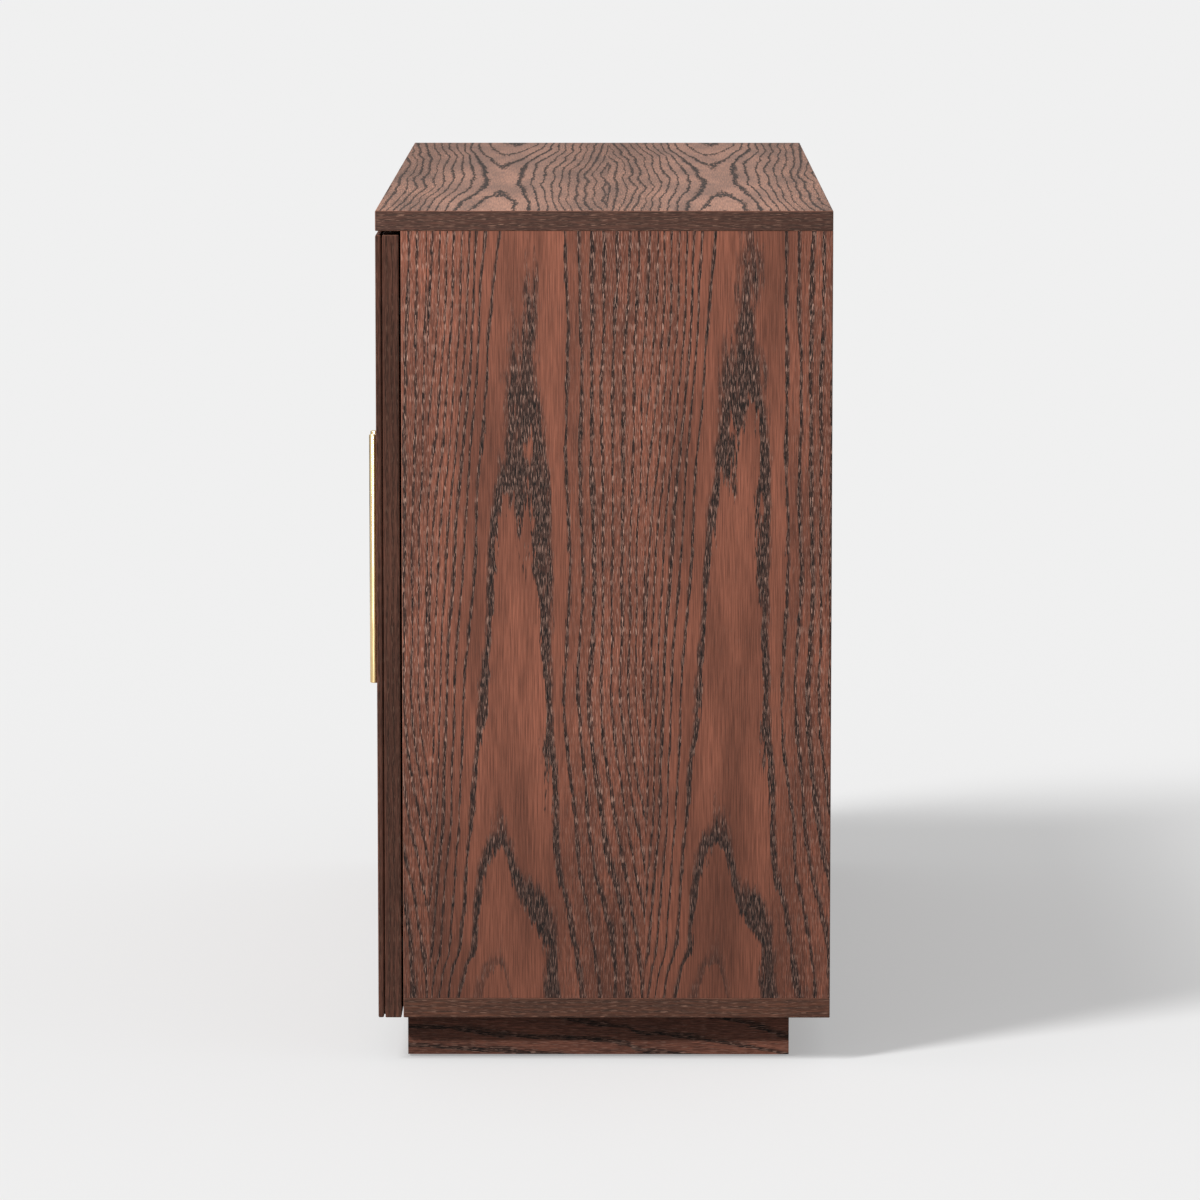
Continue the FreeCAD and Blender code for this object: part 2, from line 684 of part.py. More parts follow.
drill(bottom_panel, "bottom_panel_plinth_screw_holes", "XY_Plane", "0",
      [(f"{across} + Worked.half_width + Sizes.corner_block_side/2",
        f"{back} - Worked.front_y + Sizes.corner_block_side/2") for across, back in BLOCK_CORNERS],
      "Sizes.plinth_screw_radius + Sizes.fit_gap", "Sizes.plinth_screw_bite + Sizes.seat_gap", True)
plinth_screw = headed("plinth_screw_pattern", "Sizes.plinth_screw_radius",
                      "Sizes.corner_block_high + Sizes.plinth_screw_bite",
                      "Sizes.plinth_screw_head_radius", "Sizes.plinth_screw_head_high")
plinth_screws = copies("plinth_screws", plinth_screw, [
    (f"{across} + Sizes.corner_block_side/2", f"{back} + Sizes.corner_block_side/2",
     "Worked.block_z", UPSIDE_DOWN)
    for across, back in BLOCK_CORNERS
])

# Left door: a core with a rebated front, a thin facing on it and a fine line between them
POST_HEIGHTS = ("Worked.door_middle - Sizes.post_spacing/2",
                "Worked.door_middle + Sizes.post_spacing/2")
HINGE_HEIGHTS = ("Sizes.hinge_from_end", "Worked.door_high - Sizes.hinge_from_end")
PULL_SCREW_SPOTS = [("Worked.pull_inboard", up) for up in POST_HEIGHTS]

left_door_core = doc.addObject("PartDesign::Body", "left_door_core")
place(left_door_core, "-Worked.half_width", "Worked.face_y + Sizes.facing_thick",
      "Sizes.plinth_height")
core_outline = new_sketch(left_door_core, "core_outline", "XZ_Plane", "-Sizes.shadow_line_high")
draw_rectangle(core_outline, "0", "0", "Worked.door_wide", "Worked.door_high")
core_slab = pad(left_door_core, "core_slab", core_outline, "Sizes.core_thick", True)
ease(left_door_core, "core_eased_edges", core_slab, "Sizes.arris")
tongue_outline = new_sketch(left_door_core, "tongue_outline", "XZ_Plane")
draw_rectangle(tongue_outline, "Sizes.shadow_line_deep", "Sizes.shadow_line_deep",
               "Worked.door_wide - 2*Sizes.shadow_line_deep",
               "Worked.door_high - 2*Sizes.shadow_line_deep")
pad(left_door_core, "core_tongue", tongue_outline,
    "Sizes.shadow_line_high + Sizes.arris", True)
drill(left_door_core, "cup_holes", "XZ_Plane", "-Worked.core_whole",
      [("Sizes.cup_inboard", up) for up in HINGE_HEIGHTS],
      "Sizes.cup_hole_radius", "Worked.cup_hole_deep", True)
drill(left_door_core, "cup_screw_holes", "XZ_Plane", "-Worked.core_whole",
      [("Sizes.cup_inboard + Sizes.flange_screw_off", f"{up} {sign} Sizes.flange_screw_spacing/2")
       for up in HINGE_HEIGHTS for sign in ("-", "+")],
      "Worked.small_hole_radius", "Sizes.small_screw_bite + Sizes.seat_gap", True)
drill(left_door_core, "core_pull_screw_holes", "XZ_Plane", "-Worked.core_whole",
      PULL_SCREW_SPOTS, "Sizes.pull_screw_radius + Sizes.fit_gap", "Worked.core_whole", True)

left_door_facing = doc.addObject("PartDesign::Body", "left_door_facing")
place(left_door_facing, "-Worked.half_width", "Worked.face_y", "Sizes.plinth_height")
facing_outline = new_sketch(left_door_facing, "facing_outline", "XZ_Plane")
draw_rectangle(facing_outline, "0", "0", "Worked.door_wide", "Worked.door_high")
facing_slab = pad(left_door_facing, "facing_slab", facing_outline, "Sizes.facing_thick", True)
ease(left_door_facing, "facing_eased_edges", facing_slab, "Sizes.facing_arris")
drill(left_door_facing, "facing_pull_screw_holes", "XZ_Plane", "-Sizes.facing_thick",
      PULL_SCREW_SPOTS, "Sizes.pull_screw_radius + Sizes.fit_gap", "Sizes.facing_thick", True)

# Left pull: a bar on two posts that are coped to it, held by screws through the door
left_pull_bar = doc.addObject("PartDesign::Body", "left_pull_bar")
place(left_pull_bar, "-Sizes.pull_off_centre", "Worked.rod_y",
      "Worked.pull_middle_z - Sizes.pull_long/2")
bar_outline = new_sketch(left_pull_bar, "bar_outline", "XY_Plane")
draw_circle(bar_outline, "0", "0", "Sizes.pull_radius")
bar_round = pad(left_pull_bar, "bar_round", bar_outline, "Sizes.pull_long")
bar_ends = left_pull_bar.newObject("PartDesign::Chamfer", "bar_ends")
bar_ends.Base = (bar_round, [
    f"Edge{number}" for number, edge in enumerate(bar_round.Shape.Edges, start=1)
    if isinstance(edge.Curve, Part.Circle)
])
bar_ends.setExpression("Size", "Sizes.pull_chamfer")

post_blank = rod("post_blank", "Sizes.post_radius", "Worked.post_long", ("0", "0", "0"), TO_FRONT)
post_saddle = rod("post_saddle", "Sizes.pull_radius", "4*Sizes.post_radius",
                  ("0", "-Worked.post_long", "-2*Sizes.post_radius"))
post_bore = rod("post_bore", "Sizes.pull_screw_radius + Sizes.fit_gap",
                "Sizes.pull_screw_bite + Sizes.seat_gap", ("0", "0", "0"), TO_FRONT)
post_pattern = cut("post_pattern", cut("post_coped", post_blank, post_saddle), post_bore)
POST_SPOTS = [
    ("-Sizes.pull_off_centre", f"Sizes.plinth_height + {up}") for up in POST_HEIGHTS
]
left_pull_posts = copies("left_pull_posts", post_pattern, [
    (across, "Worked.face_y", up, None) for across, up in POST_SPOTS
])
pull_screw = headed("pull_screw_pattern", "Sizes.pull_screw_radius", "Worked.pull_screw_reach",
                    "Sizes.pull_screw_head_radius", "Sizes.pull_screw_head_high")
left_pull_screws = copies("left_pull_screws", pull_screw, [
    (across, "Worked.core_back_y", up, TO_BACK) for across, up in POST_SPOTS
])

# Bumpers between the door and the partition
bumper = turned("bumper_pattern", [("Sizes.bumper_radius", "0", "Sizes.bumper_thick")])
left_door_bumpers = copies("left_door_bumpers", bumper, [
    ("-Worked.bumper_x", "Worked.core_back_y", f"Sizes.plinth_height + {up}", TO_BACK)
    for up in ("Sizes.panel_thick + Sizes.bumper_from_end",
               "Worked.door_high - Sizes.bumper_from_end")
])

# Hinge cup, with its axis along Y and its mouth at y = 0: a shell, a flange and two cheeks
# that hold the pin. The pin lies nearer to the door's edge than the cup's centre.
cup_outside = rod("cup_outside", "Worked.cup_radius", "Worked.cup_deep",
                  ("0", "0", "0"), TO_FRONT)
cup_flange = box("cup_flange", "Sizes.flange_wide", "Sizes.flange_thick", "Sizes.flange_long",
                 ("Sizes.flange_screw_off - Sizes.flange_wide/2", "0", "-Sizes.flange_long/2"))
cup_cavity = rod("cup_cavity", "Worked.cavity_radius", "Worked.cavity_deep + Sizes.overrun",
                 ("0", "Sizes.overrun", "0"), TO_FRONT)
cup_shell = cut("cup_shell", fused("cup_blank", [cup_outside, cup_flange]), cup_cavity)
CHEEK_WIDE = "2*(Worked.eye_radius + Sizes.cup_running_gap)"
cheeks = [
    box(f"{end}_cheek", CHEEK_WIDE, "Sizes.cheek_high", "Worked.cup_radius",
        (f"-Worked.cup_to_pivot - {CHEEK_WIDE}/2", "-Worked.cup_deep", low))
    for end, low in (("lower", "-Worked.cheek_gap/2 - Worked.cup_radius"),
                     ("upper", "Worked.cheek_gap/2"))
]
cheek_blanks = doc.addObject("Part::Compound", "cheek_blanks")
cheek_blanks.Links = cheeks
cheek_pair = doc.addObject("Part::MultiCommon", "cheek_pair")
cheek_pair.Shapes = [cheek_blanks, cup_outside]
cup_solid = fused("cup_solid", [cup_shell, cheek_pair])
pin_bore = rod("pin_bore", "Sizes.hinge_pin_radius", "Sizes.hinge_pin_long",
               ("-Worked.cup_to_pivot", "-Sizes.pivot_in_door", "-Sizes.hinge_pin_long/2"))
flange_holes = [
    rod(f"{end}_flange_hole", "Worked.small_hole_radius", "Sizes.overrun",
        ("Sizes.flange_screw_off", "Sizes.overrun", up), TO_FRONT)
    for end, up in (("lower", "-Sizes.flange_screw_spacing/2"),
                    ("upper", "Sizes.flange_screw_spacing/2"))
]
cup_holes = doc.addObject("Part::Compound", "cup_holes_tool")
cup_holes.Links = [pin_bore, *flange_holes]
hinge_cup = cut("hinge_cup_pattern", cup_solid, cup_holes)

HINGE_ZS = ("Worked.hinge_low_z", "Worked.hinge_high_z")
left_hinge_cups = copies("left_hinge_cups", hinge_cup, [
    ("-Worked.half_width + Sizes.cup_inboard", "Worked.core_back_y", up, None) for up in HINGE_ZS
])
small_screw = headed("small_screw_pattern", "Sizes.small_screw_radius",
                     "Sizes.small_screw_bite + Sizes.flange_thick",
                     "Sizes.small_screw_head_radius", "Sizes.small_screw_head_high")
left_cup_screws = copies("left_cup_screws", small_screw, [
    ("-Worked.half_width + Sizes.cup_inboard + Sizes.flange_screw_off",
     "Worked.core_back_y + Sizes.flange_thick", f"{up} {sign} Sizes.flange_screw_spacing/2",
     TO_BACK)
    for up in HINGE_ZS for sign in ("-", "+")
])
hinge_pin = turned("hinge_pin_pattern", [
    ("Sizes.hinge_pin_radius", "-Sizes.hinge_pin_long/2", "Sizes.hinge_pin_long/2"),
])
left_hinge_pins = copies("left_hinge_pins", hinge_pin, [
    ("-Worked.half_width + Sizes.pivot_inboard", "Worked.pivot_y", up, None) for up in HINGE_ZS
])

# Hinge arm: an eye on the pin, a neck along the cup's floor and a leg back to the plate
arm_body = doc.addObject("PartDesign::Body", "hinge_arm_pattern")
arm_outline = new_sketch(arm_body, "arm_outline", "XY_Plane", "-Sizes.arm_wide/2")
draw_outline(arm_outline, [
    ("0", "-Worked.eye_radius"),
    ("Worked.arm_inboard + Sizes.arm_thick", "-Worked.eye_radius"),
    ("Worked.arm_inboard + Sizes.arm_thick", "Worked.arm_reach"),
    ("Worked.arm_inboard", "Worked.arm_reach"),
    ("Worked.arm_inboard", "-Worked.eye_radius + Sizes.arm_thick"),
    ("0", "-Worked.eye_radius + Sizes.arm_thick"),
])
arm_strip = pad(arm_body, "arm_strip", arm_outline, "Sizes.arm_wide")
eye_outline = new_sketch(arm_body, "eye_outline", "XY_Plane", "-Sizes.arm_wide/2")
draw_circle(eye_outline, "0", "0", "Worked.eye_radius")
pad(arm_body, "arm_eye", eye_outline, "Sizes.arm_wide")
drill(arm_body, "arm_eye_bore", "XY_Plane", "Sizes.arm_wide/2", [("0", "0")],
      "Sizes.hinge_pin_radius + Sizes.fit_gap", "Sizes.arm_wide")
drill(arm_body, "arm_screw_hole", "YZ_Plane", "Worked.arm_inboard + Sizes.arm_thick",
      [("Worked.pivot_to_plate", "0")], "Worked.euro_hole_radius", "Sizes.arm_thick")
left_hinge_arms = copies("left_hinge_arms", arm_body, [
    ("-Worked.half_width + Sizes.pivot_inboard", "Worked.pivot_y", up, None) for up in HINGE_ZS
])

# Mounting plate: a cross with a long bar under the arm and two wings for its screws
BAR_LONG = "Sizes.plate_bar_long/2"
BAR_WIDE = "Sizes.plate_bar_wide/2"
WING_LONG = "Sizes.plate_wing_long/2"
WING_WIDE = "Sizes.plate_wing_wide/2"
plate_body = doc.addObject("PartDesign::Body", "hinge_plate_pattern")
plate_outline = new_sketch(plate_body, "plate_outline", "YZ_Plane")
draw_outline(plate_outline, [
    (f"-{BAR_LONG}", f"-{BAR_WIDE}"), (f"-{WING_WIDE}", f"-{BAR_WIDE}"),
    (f"-{WING_WIDE}", f"-{WING_LONG}"), (WING_WIDE, f"-{WING_LONG}"),
    (WING_WIDE, f"-{BAR_WIDE}"), (BAR_LONG, f"-{BAR_WIDE}"),
    (BAR_LONG, BAR_WIDE), (WING_WIDE, BAR_WIDE),
    (WING_WIDE, WING_LONG), (f"-{WING_WIDE}", WING_LONG),
    (f"-{WING_WIDE}", BAR_WIDE), (f"-{BAR_LONG}", BAR_WIDE),
])
pad(plate_body, "plate_cross", plate_outline, "Sizes.plate_thick")
drill(plate_body, "plate_screw_holes", "YZ_Plane", "Sizes.plate_thick",
      [("0", "-Sizes.plate_screw_spacing/2"), ("0", "0"), ("0", "Sizes.plate_screw_spacing/2")],
      "Worked.euro_hole_radius", "Sizes.plate_thick")
PLATE_FACE = "-Worked.half_width + Sizes.panel_thick"
PLATE_LINE = "Worked.front_y + Sizes.plate_setback"
left_hinge_plates = copies("left_hinge_plates", plate_body, [
    (PLATE_FACE, PLATE_LINE, up, None) for up in HINGE_ZS
])
plate_screw = headed("plate_screw_pattern", "Sizes.euro_screw_radius",
                     "Sizes.plate_thick + Sizes.euro_screw_bite",
                     "Sizes.euro_screw_head_radius", "Sizes.euro_screw_head_high")
left_plate_screws = copies("left_plate_screws", plate_screw, [
    (f"{PLATE_FACE} + Sizes.plate_thick", PLATE_LINE,
     f"{up} {sign} Sizes.plate_screw_spacing/2", TO_RIGHT)
    for up in HINGE_ZS for sign in ("-", "+")
])
arm_screw = headed("arm_screw_pattern", "Sizes.euro_screw_radius",
                   "Sizes.arm_thick + Sizes.plate_thick",
                   "Sizes.euro_screw_head_radius", "Sizes.euro_screw_head_high")
left_arm_screws = copies("left_arm_screws", arm_screw, [
    (f"{PLATE_FACE} + Sizes.plate_thick + Sizes.arm_thick", PLATE_LINE, up, TO_RIGHT)
    for up in HINGE_ZS
])

# The right-hand door and its fittings are the mirror image of the left-hand ones
LEFT_PIECES = {
    "door_core": left_door_core,
    "door_facing": left_door_facing,
    "door_bumpers": left_door_bumpers,
    "pull_bar": left_pull_bar,
    "pull_posts": left_pull_posts,
    "pull_screws": left_pull_screws,
    "hinge_cups": left_hinge_cups,
    "cup_screws": left_cup_screws,
    "hinge_pins": left_hinge_pins,
    "hinge_arms": left_hinge_arms,
    "hinge_plates": left_hinge_plates,
    "plate_screws": left_plate_screws,
    "arm_screws": left_arm_screws,
}
right_pieces = [mirrored(f"right_{name}", piece) for name, piece in LEFT_PIECES.items()]

sub_parts = [
    top_panel, bottom_panel, left_side_panel, right_side_panel, centre_partition,
    *back_panels, *shelves, shelf_pins, carcass_dowels, cam_bolts, cam_locks,
    *plinth_rails, plinth_glides, plinth_corner_blocks, plinth_screws,
    *LEFT_PIECES.values(), *right_pieces,
]

doc.recompute()
for thing in doc.Objects:
    if "Invalid" in thing.State or "Error" in thing.State:
        raise RuntimeError(f"{thing.Label} failed: {thing.State}")
for piece in sub_parts:
    if piece.Shape.isNull() or not piece.Shape.isValid() or not piece.Shape.Solids:
        raise RuntimeError(f"{piece.Label} has no sound solid")

os.makedirs("parts", exist_ok=True)
for piece in sub_parts:
    piece.Shape.exportStep(f"parts/{piece.Label}.step")
print(f"{len(sub_parts)} sub-parts written")
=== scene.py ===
"""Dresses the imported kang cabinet: stained veneer, brass pulls, plated fittings, floor, light and camera."""

import json
import logging
import math
from dataclasses import dataclass
from enum import Enum
from typing import Any, Iterable, NamedTuple, Sequence

import bpy
from mathutils import Matrix, Vector

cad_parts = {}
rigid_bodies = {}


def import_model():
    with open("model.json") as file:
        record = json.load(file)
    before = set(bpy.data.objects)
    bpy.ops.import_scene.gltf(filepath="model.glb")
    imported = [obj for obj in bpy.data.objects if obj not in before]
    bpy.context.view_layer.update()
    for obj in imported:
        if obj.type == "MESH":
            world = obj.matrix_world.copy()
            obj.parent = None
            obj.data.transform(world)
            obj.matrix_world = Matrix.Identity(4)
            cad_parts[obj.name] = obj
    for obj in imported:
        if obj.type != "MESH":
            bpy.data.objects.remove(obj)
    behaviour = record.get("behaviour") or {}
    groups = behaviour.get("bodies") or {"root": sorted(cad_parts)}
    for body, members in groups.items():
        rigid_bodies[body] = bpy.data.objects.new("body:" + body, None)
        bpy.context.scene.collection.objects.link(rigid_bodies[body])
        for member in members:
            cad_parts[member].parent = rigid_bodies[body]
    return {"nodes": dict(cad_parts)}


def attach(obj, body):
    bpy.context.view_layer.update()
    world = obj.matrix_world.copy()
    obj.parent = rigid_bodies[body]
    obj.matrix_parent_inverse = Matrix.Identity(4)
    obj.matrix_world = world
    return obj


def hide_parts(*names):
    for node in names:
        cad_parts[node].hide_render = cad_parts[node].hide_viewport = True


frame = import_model()

LOG = logging.getLogger("kang_cabinet")
MM = 1000.0
SHARP = math.radians(32)  # the angle from which an edge is sharp
MIDDLE = (0.3, 0.7)  # the stretch in which most of a noise lies
WOOD_SHEEN = 0.2  # the wood's Specular IOR Level
MASKS = ("Pore", "Fleck", "Line", "Streak", "Cloud")  # what OpenPores draws and Staining colours

Socket = bpy.types.NodeSocket
Node = bpy.types.Node
Tree = bpy.types.NodeTree
Material = bpy.types.Material
Piece = bpy.types.Object
Value = Socket | float | Sequence[float]
Inputs = Sequence[Value] | dict[str | int, Value]
Colour = tuple[float, float, float, float]
Pair = tuple[float, float]
Triple = tuple[float, float, float]


def stain(red: int, green: int, blue: int) -> Colour:
    """Turns a colour of a paint chart into the linear colour that the shaders take.

    Args:
        red, green, blue: the colour as a screen shows it, from 0 to 255.

    Returns:
        The linear colour, with full alpha.
    """
    parts = [channel / 255 for channel in (red, green, blue)]
    linear = [part / 12.92 if part <= 0.04045 else ((part + 0.055) / 1.055) ** 2.4 for part in parts]
    return (linear[0], linear[1], linear[2], 1.0)


class Axis(Enum):
    """An axis of the cabinet: along its length, its depth or its height."""

    X = 0
    Y = 1
    Z = 2


class Side(Enum):
    """A half of the cabinet, with the sign of its X."""

    LEFT = -1
    RIGHT = 1

    def name_of(self, piece: str) -> str:
        """The name of this side's piece."""
        return f"{self.name.lower()}_{piece}"


class Noise(NamedTuple):
    """A noise over the wood."""

    wide: float  # how wide its grain is
    long: float  # how long it is
    shift: float = 0.0  # which part of the noise is taken
    detail: float = 1.0  # how many finer grains lie on the first
    roughness: float = 0.5  # how strong those are


class NodeSheet:
    """A shader node tree that is laid out in code, one node a call."""

    def __init__(self, tree: Tree) -> None:
        """Takes the tree to write in."""
        self.tree = tree

    def node(self, kind: str, **settings: Any) -> Node:
        """Adds a node.

        Args:
            kind: the node's type, without "ShaderNode".
            settings: the node's own settings, by name.

        Returns:
            The new node.
        """
        made = self.tree.nodes.new("ShaderNode" + kind)
        for name, setting in settings.items():
            setattr(made, name, setting)
        return made

    def fill(self, node: Node, inputs: Inputs) -> None:
        """Links a node's inputs to other sockets, or types values into them.

        Args:
            node: the node.
            inputs: what its inputs get, in their order, or by name or number.
        """
        for key, value in inputs.items() if isinstance(inputs, dict) else enumerate(inputs):
            if isinstance(value, Socket):
                self.tree.links.new(value, node.inputs[key])
            else:
                node.inputs[key].default_value = value

    def add(self, kind: str, inputs: Inputs, output: str | int = 0, **settings: Any) -> Socket:
        """Adds a node and fills it.

        Args:
            kind: the node's type, without "ShaderNode".
            inputs: what its inputs get.
            output: the output that is wanted.
            settings: the node's own settings, by name.

        Returns:
            That output.
        """
        made = self.node(kind, **settings)
        self.fill(made, inputs)
        return made.outputs[output]

    def calc(self, operation: str, *values: Value) -> Socket:
        """The result of a Math node."""
        return self.add("Math", values, operation=operation)

    def ramp(self, value: Value, low: Value, high: Value, start: Value = 0.0, end: Value = 1.0) -> Socket:
        """A value that goes softly from start to end while another goes from low to high."""
        return self.add("MapRange", (value, low, high, start, end), interpolation_type="SMOOTHSTEP")

    def noise(self, point: Sequence[Value], detail: float = 1.0, roughness: float = 0.5) -> Socket:
        """A noise from 0 to 1, whose grain is one unit of the point that it reads."""
        place, finer = self.add("CombineXYZ", point), {"Detail": detail, "Roughness": roughness}
        return self.add("TexNoise", {"Vector": place, "Scale": 1.0, **finer}, "Fac", noise_dimensions="3D")

    def scatter(self, noise: Noise, across: Value, along: Value, seed: Value = 0.0) -> Socket:
        """Draws a noise over the wood.

        Args:
            noise: the noise.
            across, along: the place across and along the wood.
            seed: which part of the noise is taken, besides its own shift.

        Returns:
            The noise, from 0 to 1.
        """
        wide, long = self.calc("DIVIDE", across, noise.wide), self.calc("DIVIDE", along, noise.long)
        point = (wide, long, self.calc("ADD", seed, noise.shift))
        return self.noise(point, noise.detail, noise.roughness)

    def swing(self, noise: Noise, across: Value, along: Value, seed: Value = 0.0) -> Socket:
        """The same noise about zero."""
        return self.calc("SUBTRACT", self.scatter(noise, across, along, seed), 0.5)

    def blend(self, factor: Value, first: Value, second: Value) -> Socket:
        """A colour mixed from two, with a factor of 0 for the first and 1 for the second."""
        inputs = {"Factor": factor, 6: first, 7: second}
        return self.add("Mix", inputs, 2, data_type="RGBA", clamp_factor=True)

    def mix(self, factor: Value, first: Value, second: Value) -> Socket:
        """A number mixed from two, with a factor of 0 for the first and 1 for the second."""
        return self.add("Mix", {"Factor": factor, "A": first, "B": second}, data_type="FLOAT")

    def relief(self, height: Socket, depth: float, strength: float = 0.6) -> Socket:
        """The normal of a fine relief, from its height and its depth in metres."""
        return self.add("Bump", {"Strength": strength, "Distance": depth, "Height": height})

    def place_of(self, output: str) -> Socket:
        """What a Texture Coordinate node says of the surface."""
        return self.add("TexCoord", (), output)

    def parts_of(self, output: str) -> Sequence[Socket]:
        """Splits what a Texture Coordinate node says of the surface.

        Args:
            output: the node's output.

        Returns:
            Its X, Y and Z.
        """
        made = self.node("SeparateXYZ")
        self.fill(made, (self.place_of(output),))
        return made.outputs

    def place(self, group: Tree, **values: Value) -> Node:
        """Places a node group.

        Args:
            group: the group's tree.
            values: what its inputs get, by name with _ for a space.

        Returns:
            The group's node.
        """
        made = self.node("Group", node_tree=group)
        self.fill(made, {name.replace("_", " ").title(): value for name, value in values.items()})
        return made


class GroupSheet(NodeSheet):
    """A node group with named inputs and outputs."""

    def __init__(self, name: str, inputs: dict[str, float | Colour], outputs: Iterable[str]) -> None:
        """Makes the group.

        Args:
            name: the group's name.
            inputs: each input's name and the value that it has until it gets one.
            outputs: the names of the outputs, of which Color is a colour.
        """
        super().__init__(bpy.data.node_groups.new(name, "ShaderNodeTree"))
        kinds = ("NodeSocketFloat", "NodeSocketColor")
        for title, value in inputs.items():
            kind = kinds[isinstance(value, tuple)]
            self.tree.interface.new_socket(title, in_out="INPUT", socket_type=kind).default_value = value
        for title in outputs:
            self.tree.interface.new_socket(title, in_out="OUTPUT", socket_type=kinds[title == "Color"])
        self.source, self.sink = (self.tree.nodes.new("NodeGroup" + end) for end in ("Input", "Output"))

    def given(self, title: str) -> Socket:
        """The value that an input brings in."""
        return self.source.outputs[title]

    def give(self, **values: Value) -> None:
        """Sends values out, by name with _ for a space."""
        self.fill(self.sink, {name.replace("_", " ").title(): value for name, value in values.items()})


@dataclass(frozen=True)
class Flitch:
    """The log's half from which all veneer leaves are cut, one after another, in millimetres.

    The heart rises and falls through the cut, which draws the arches: where it rises, the
    growth rings close in an arch that points up the leaf, and where it falls, in one that points down.
    """

    # How many rings deep the cut lies at the heart line, at distances along the log
    rise: tuple[Pair, ...] = (
        (0, -0.9), (62, -0.4), (90, -0.1), (98, 0.0), (112, 0.4), (150, 0.6), (212, 1.0), (248, 1.4),
        (400, 1.8), (560, 1.985), (618, 2.11), (688, 2.2), (744, 2.25), (782, 2.3), (860, 2.6),
        (1000, 3.25), (1220, 4.0), (1330, 4.35), (1440, 4.48), (1540, 4.5), (1640, 4.4), (1764, 4.0),
        (1850, 3.6), (2200, 2.0), (2500, 1.2),
    )
    lowest: float = -1.0  # the fewest rings that rise can draw
    span: float = 6.0  # the reach from there to the most
    sway: Noise = Noise(70.0, 330.0, 4.7, 1.5)  # how the heart line sways
    sway_reach: float = 26.0  # how far it does
    bend: Noise = Noise(16.0, 110.0, 0.0, 2.0)  # how the rings bend
    bend_reach: float = 0.6  # how far they do, in rings
    jag: Noise = Noise(2.6, 24.0, 9.0, 2.5, 0.62)  # how the rings are jagged
    jag_reach: float = 4.0  # how far they are, in rings, before a finish's own share
    drift: float = 0.35  # how far bends and jags move on from one leaf to the next
    turn: float = 6.0  # how far from the heart line the one spread has turned into the other
    flank: Pair = (34.0, 90.0)  # where a flank begins beside the heart, and where it is full
    drop: Pair = (180.0, 560.0)  # between which places along the log the leaves' drop sets in
    opens: Pair = (0.0, 0.05)  # where in a ring the early wood begins, and where it is full
    closes: Pair = (0.55, 1.35)  # where it thins out and where it ends, against its width
    width: Pair = (1.6, 0.2)  # how much that width differs between rings, and the least of it
    ring_step: float = 0.73  # how far apart two neighbouring rings lie in the noise of their widths
    ring_row: float = 3.3  # which row of that noise is taken
    lean_ring: float = 2.0  # the ring that grew in a dry year
    lean_loss: float = -0.34  # how much less early wood it has
    young: Pair = (0.5, 0.9)  # between which rings the early wood comes to be as open as it gets
    butt: Pair = (80.0, 400.0)  # where along the log the butt begins to end, and where it has ended
    butt_swell: float = 22.0  # how much wider the right flank spreads there
    butt_lean: float = 3.0  # how steeply the arches lean to the left there
    butt_reach: float = 20.0  # how far beside the heart they do
    flame_ends: Pair = (50.0, 172.0)  # where along the log a low dark flame begins and ends
    flame_off: float = 51.0  # how far beside the heart it stands
    flame_half: float = 11.0  # half its width
    flame_rag: float = 16.0  # how ragged it is
    flame_side: Pair = (-1.0, 5.0)  # how softly its sides set in
    flame_tip: Pair = (0.0, 0.5)  # how softly its tip does, against its length

    def group(self) -> Tree:
        """Makes the group that draws the growth rings of flat-sawn leaves laid side by side.

        Returns:
            The group: from a place across and along the leaves to its share of open-pored early wood,
            its place in the leaf, the leaf's number, how far out on a flank it lies and how near the butt.
        """
        sheet = GroupSheet("flat_sawn_rings", dict.fromkeys((
            "Across", "Along", "Leaf Width", "Leaf Start", "Heart", "Lean", "Left Spread", "Right Spread",
            "Closing", "Knee", "Band", "Jag", "Young", "Leaf Drop",
        ), 0.0), ("Early Wood", "Local", "Leaf", "Flank", "Butt"))
        given, calc = sheet.given, sheet.calc
        along = given("Along")
        leaves = calc("DIVIDE", calc("SUBTRACT", given("Across"), given("Leaf Start")), given("Leaf Width"))
        leaf = calc("FLOOR", leaves)
        local = calc("MULTIPLY", calc("SUBTRACT", leaves, leaf), given("Leaf Width"))
        heart = calc("MULTIPLY_ADD", along, given("Lean"), given("Heart"))
        sway = sheet.swing(self.sway, local, along)
        off = calc("MULTIPLY_ADD", sway, self.sway_reach, calc("SUBTRACT", local, heart))
        butt = sheet.ramp(along, *self.butt, 1.0, 0.0)
        drift = calc("MULTIPLY", leaf, self.drift)
        jag = sheet.swing(self.jag, local, along, drift)
        ring = calc("ADD", self.draw_depth(sheet, leaf, off, butt), self.draw_spread(sheet, off, butt))
        ring = calc("MULTIPLY_ADD", sheet.swing(self.bend, local, along, drift), self.bend_reach, ring)
        ring = calc("MULTIPLY_ADD", jag, calc("MULTIPLY", given("Jag"), self.jag_reach), ring)
        flame = self.draw_flame(sheet, along, calc("MULTIPLY_ADD", jag, self.flame_rag, off))
        sheet.give(early_wood=calc("MAXIMUM", self.draw_wood(sheet, ring), flame), local=local, leaf=leaf,
                   flank=sheet.ramp(calc("ABSOLUTE", off), *self.flank), butt=butt)
        return sheet.tree

